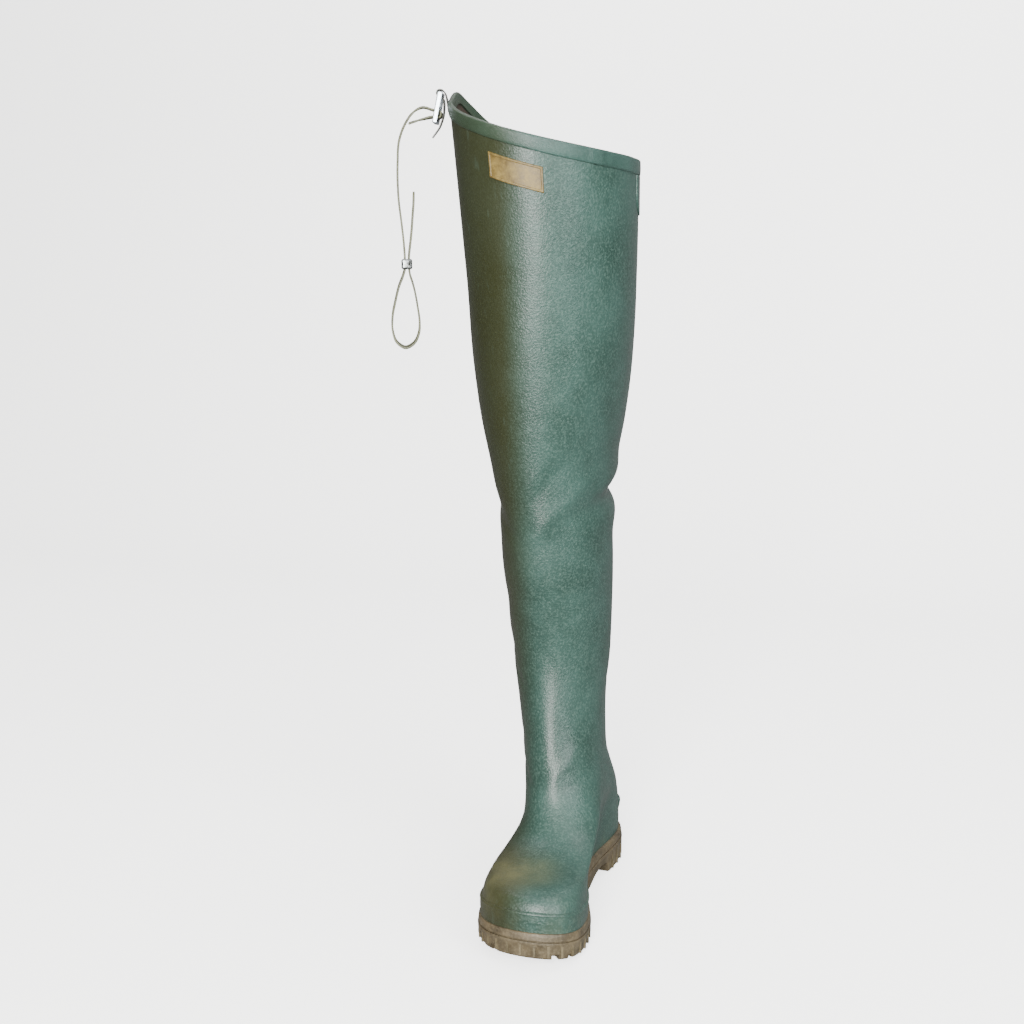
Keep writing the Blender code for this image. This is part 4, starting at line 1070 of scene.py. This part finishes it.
def makeBuckle():
    s = buckleSettings
    lean = math.radians(s["lean"])
    leanUp = up * math.cos(lean) - left * math.sin(lean)
    leanOut = left * math.cos(lean) + up * math.sin(lean)
    half, rail, end, bar = s["depth"] / 2, s["depth"] / 2 - s["rail"], s["height"] / 2, s["bar"] / 2
    across = (-half, -rail, rail, half)
    levels = (-end, -end + 2 * bar, s["middleBar"] - bar, s["middleBar"] + bar, end - 2 * bar, end)
    points, faces, index = [], [], {}
    for side in (-1, 1):
        for i, a in enumerate(across):
            for j, h in enumerate(levels):
                index[side, i, j] = len(points)
                points.append(buckleMiddle + leanOut * side * s["thick"] / 2 + deep * a + leanUp * h)
    cells = [(i, j) for i in range(3) for j in range(5) if (i, j) not in {(1, 1), (1, 3)}]
    for i, j in cells:
        corners = ((i, j), (i + 1, j), (i + 1, j + 1), (i, j + 1))
        for side in (-1, 1):
            faces.append(tuple(index[side, a, b] for a, b in corners))
        for (di, dj), (a, b) in (
            ((0, -1), (corners[0], corners[1])), ((1, 0), (corners[1], corners[2])),
            ((0, 1), (corners[3], corners[2])), ((-1, 0), (corners[0], corners[3])),
        ):
            if (i + di, j + dj) not in cells:
                faces.append((index[-1, *a], index[-1, *b], index[1, *b], index[1, *a]))
    blank = linked("buckleBlank", closedMesh("buckleBlank", points, faces, [steel]))
    soften = blank.modifiers.new("soften", "BEVEL")
    soften.width, soften.segments, soften.limit_method = s["soft"], 4, "ANGLE"
    settle(bake(blank, "slide_buckle", 50), ["buckle"])


makeBuckle()


keeperSettings = {
    "height": 0.0100, "inside": 0.0080, "wall": 0.0009, "slack": 0.0008, "away": 0.0345, "drop": 0.1500,
    "around": 40, "corner": 0.3, "steps": 16,
}


def makeKeeper():
    s = keeperSettings
    lean = deep + left * strapSettings["lean"]
    wide = lean / np.linalg.norm(lean)
    out = np.cross(up, wide)
    middle = buckleMiddle + left * s["away"] - up * s["drop"]
    angles = (np.arange(s["around"]) + 0.5) * 2 * math.pi / s["around"]
    x, y = (np.sign(v) * np.abs(v) ** s["corner"] for v in (np.cos(angles), np.sin(angles)))

    def ring(halfWide, halfOut, height):
        return middle + (x * halfWide)[:, None] * wide + (y * halfOut)[:, None] * out + up * height

    innerWide = strapSettings["width"] / 2 + s["slack"]
    ringList = []
    for k in range(s["steps"] + 1):
        share = 2 * k / s["steps"] - 1
        barrel = 1.2 * math.sqrt(max(1 - share**4, 0.0))
        bead = 0.25 * math.exp(-(((abs(share) - 0.62) / 0.10) ** 2))
        thick = s["wall"] * (0.35 + barrel + bead)
        ringList.append(ring(innerWide + thick, s["inside"] / 2 + thick, s["height"] / 2 * share))
    ringList += [ring(innerWide, s["inside"] / 2, s["height"] / 2 * share) for share in (1.0, 0.0, -1.0)]
    points, faces = loft(ringList, closeRings=True)
    makePiece("keeper_sleeve", points, faces, [darkSteel], ["strap_keeper"])


makeKeeper()
print("strap and hardware made")


# Floor and backdrop in one sweep, soft lights and the camera at the photograph's angle
stageSettings = {"front": 4.0, "bend": 1.2, "high": 5.0, "side": 5.0, "glow": 2.2, "dim": 0.20}
skyColor, skyStrength = (0.96, 0.94, 0.87, 1), 0.28


def makeStage():
    s = stageSettings
    bend = s["bend"]
    profile = [(-s["front"], 0.0), (bend, 0.0)]
    for a in np.linspace(0.1, math.pi / 2, 14):
        profile.append((bend + bend * math.sin(a), bend - bend * math.cos(a)))
    profile.append((2 * bend, s["high"]))
    points = [(side, y, z) for side in (-s["side"], s["side"]) for y, z in profile]
    count = len(profile)
    mesh = bpy.data.meshes.new("backdrop")
    mesh.from_pydata(points, [], [(i, i + count, i + count + 1, i + 1) for i in range(count - 1)])
    mesh.shade_smooth()
    finish, tree = startMaterial("paper", 0.9, **{
        "Base Color": (0.90, 0.90, 0.895, 1), "Emission Color": (1.0, 1.0, 0.99, 1),
        "Emission Strength": s["glow"],
    })
    # rays that bounce meet a darker surround, so the rubber keeps the depth of its colour
    dim = addNode(tree, "ShaderNodeBsdfDiffuse", {"Color": (s["dim"], s["dim"], s["dim"], 1)})
    rays = addNode(tree, "ShaderNodeLightPath")
    both = addNode(tree, "ShaderNodeMixShader", {
        0: rays.outputs["Is Camera Ray"], 1: dim.outputs[0],
        2: tree.nodes["Principled BSDF"].outputs[0],
    })
    tree.links.new(both.outputs[0], tree.nodes["Material Output"].inputs["Surface"])
    mesh.materials.append(finish)
    floor = linked("backdrop", mesh)


def aim(holder, direction, roll=0.0):
    holder.rotation_mode = "QUATERNION"
    holder.rotation_quaternion = direction.to_track_quat("-Z", "Y") @ Quaternion((0, 0, 1), roll)


def addLight(name, location, target, width, height, power, color):
    light = bpy.data.lights.new(name, "AREA")
    light.shape, light.size, light.size_y = "RECTANGLE", width, height
    light.energy, light.color = power, color
    holder = linked(name, light)
    holder.location = location
    aim(holder, Vector(target) - Vector(location))


lightSettings = (
    ("frontStrip", (0.26, -2.2, 0.90), (0, 0, 0.42), 0.75, 1.8, 150.0, (1.0, 0.99, 0.96)),
    ("rightFill", (2.0, -1.3, 1.2), (0, 0, 0.40), 1.4, 1.9, 76.0, (0.93, 0.98, 1.0)),
    ("top", (0.5, -0.4, 2.6), (0, 0, 0.3), 1.6, 1.6, 24.0, (1.0, 1.0, 1.0)),
    ("backSweep", (0.0, 0.9, 2.7), (0, 2.2, 0.6), 3.0, 1.2, 80.0, (1.0, 1.0, 1.0)),
)


# Angles in degrees. aside turns the camera from the boot's axis, so that the boot and its
# strap stand in the middle of the picture.
cameraSettings = {
    "turn": 16, "distance": 1.42, "height": 0.645, "pitch": 10.0, "aside": 3.4, "roll": -0.5,
    "focalPixels": 1325, "pictureWidth": 1024, "sensor": 36.0,
}


def makeCamera():
    s = cameraSettings
    turn, pitch = math.radians(s["turn"]), math.radians(s["pitch"])
    camera = bpy.data.cameras.new("camera")
    camera.sensor_width = s["sensor"]
    camera.lens = s["sensor"] * s["focalPixels"] / s["pictureWidth"]
    holder = linked("camera", camera)
    holder.location = (s["distance"] * math.sin(turn), -s["distance"] * math.cos(turn), s["height"])
    yaw = turn + math.radians(s["aside"])
    look = Vector((-math.sin(yaw) * math.cos(pitch), math.cos(yaw) * math.cos(pitch), -math.sin(pitch)))
    aim(holder, look, math.radians(s["roll"]))
    bpy.context.scene.camera = holder


makeStage()
for row in lightSettings:
    addLight(*row)
world = bpy.data.worlds.new("studio")
world.use_nodes = True
sky = world.node_tree.nodes["Background"].inputs
sky["Color"].default_value = skyColor
sky["Strength"].default_value = skyStrength
bpy.context.scene.world = world
makeCamera()
print("stage, lights and camera made")
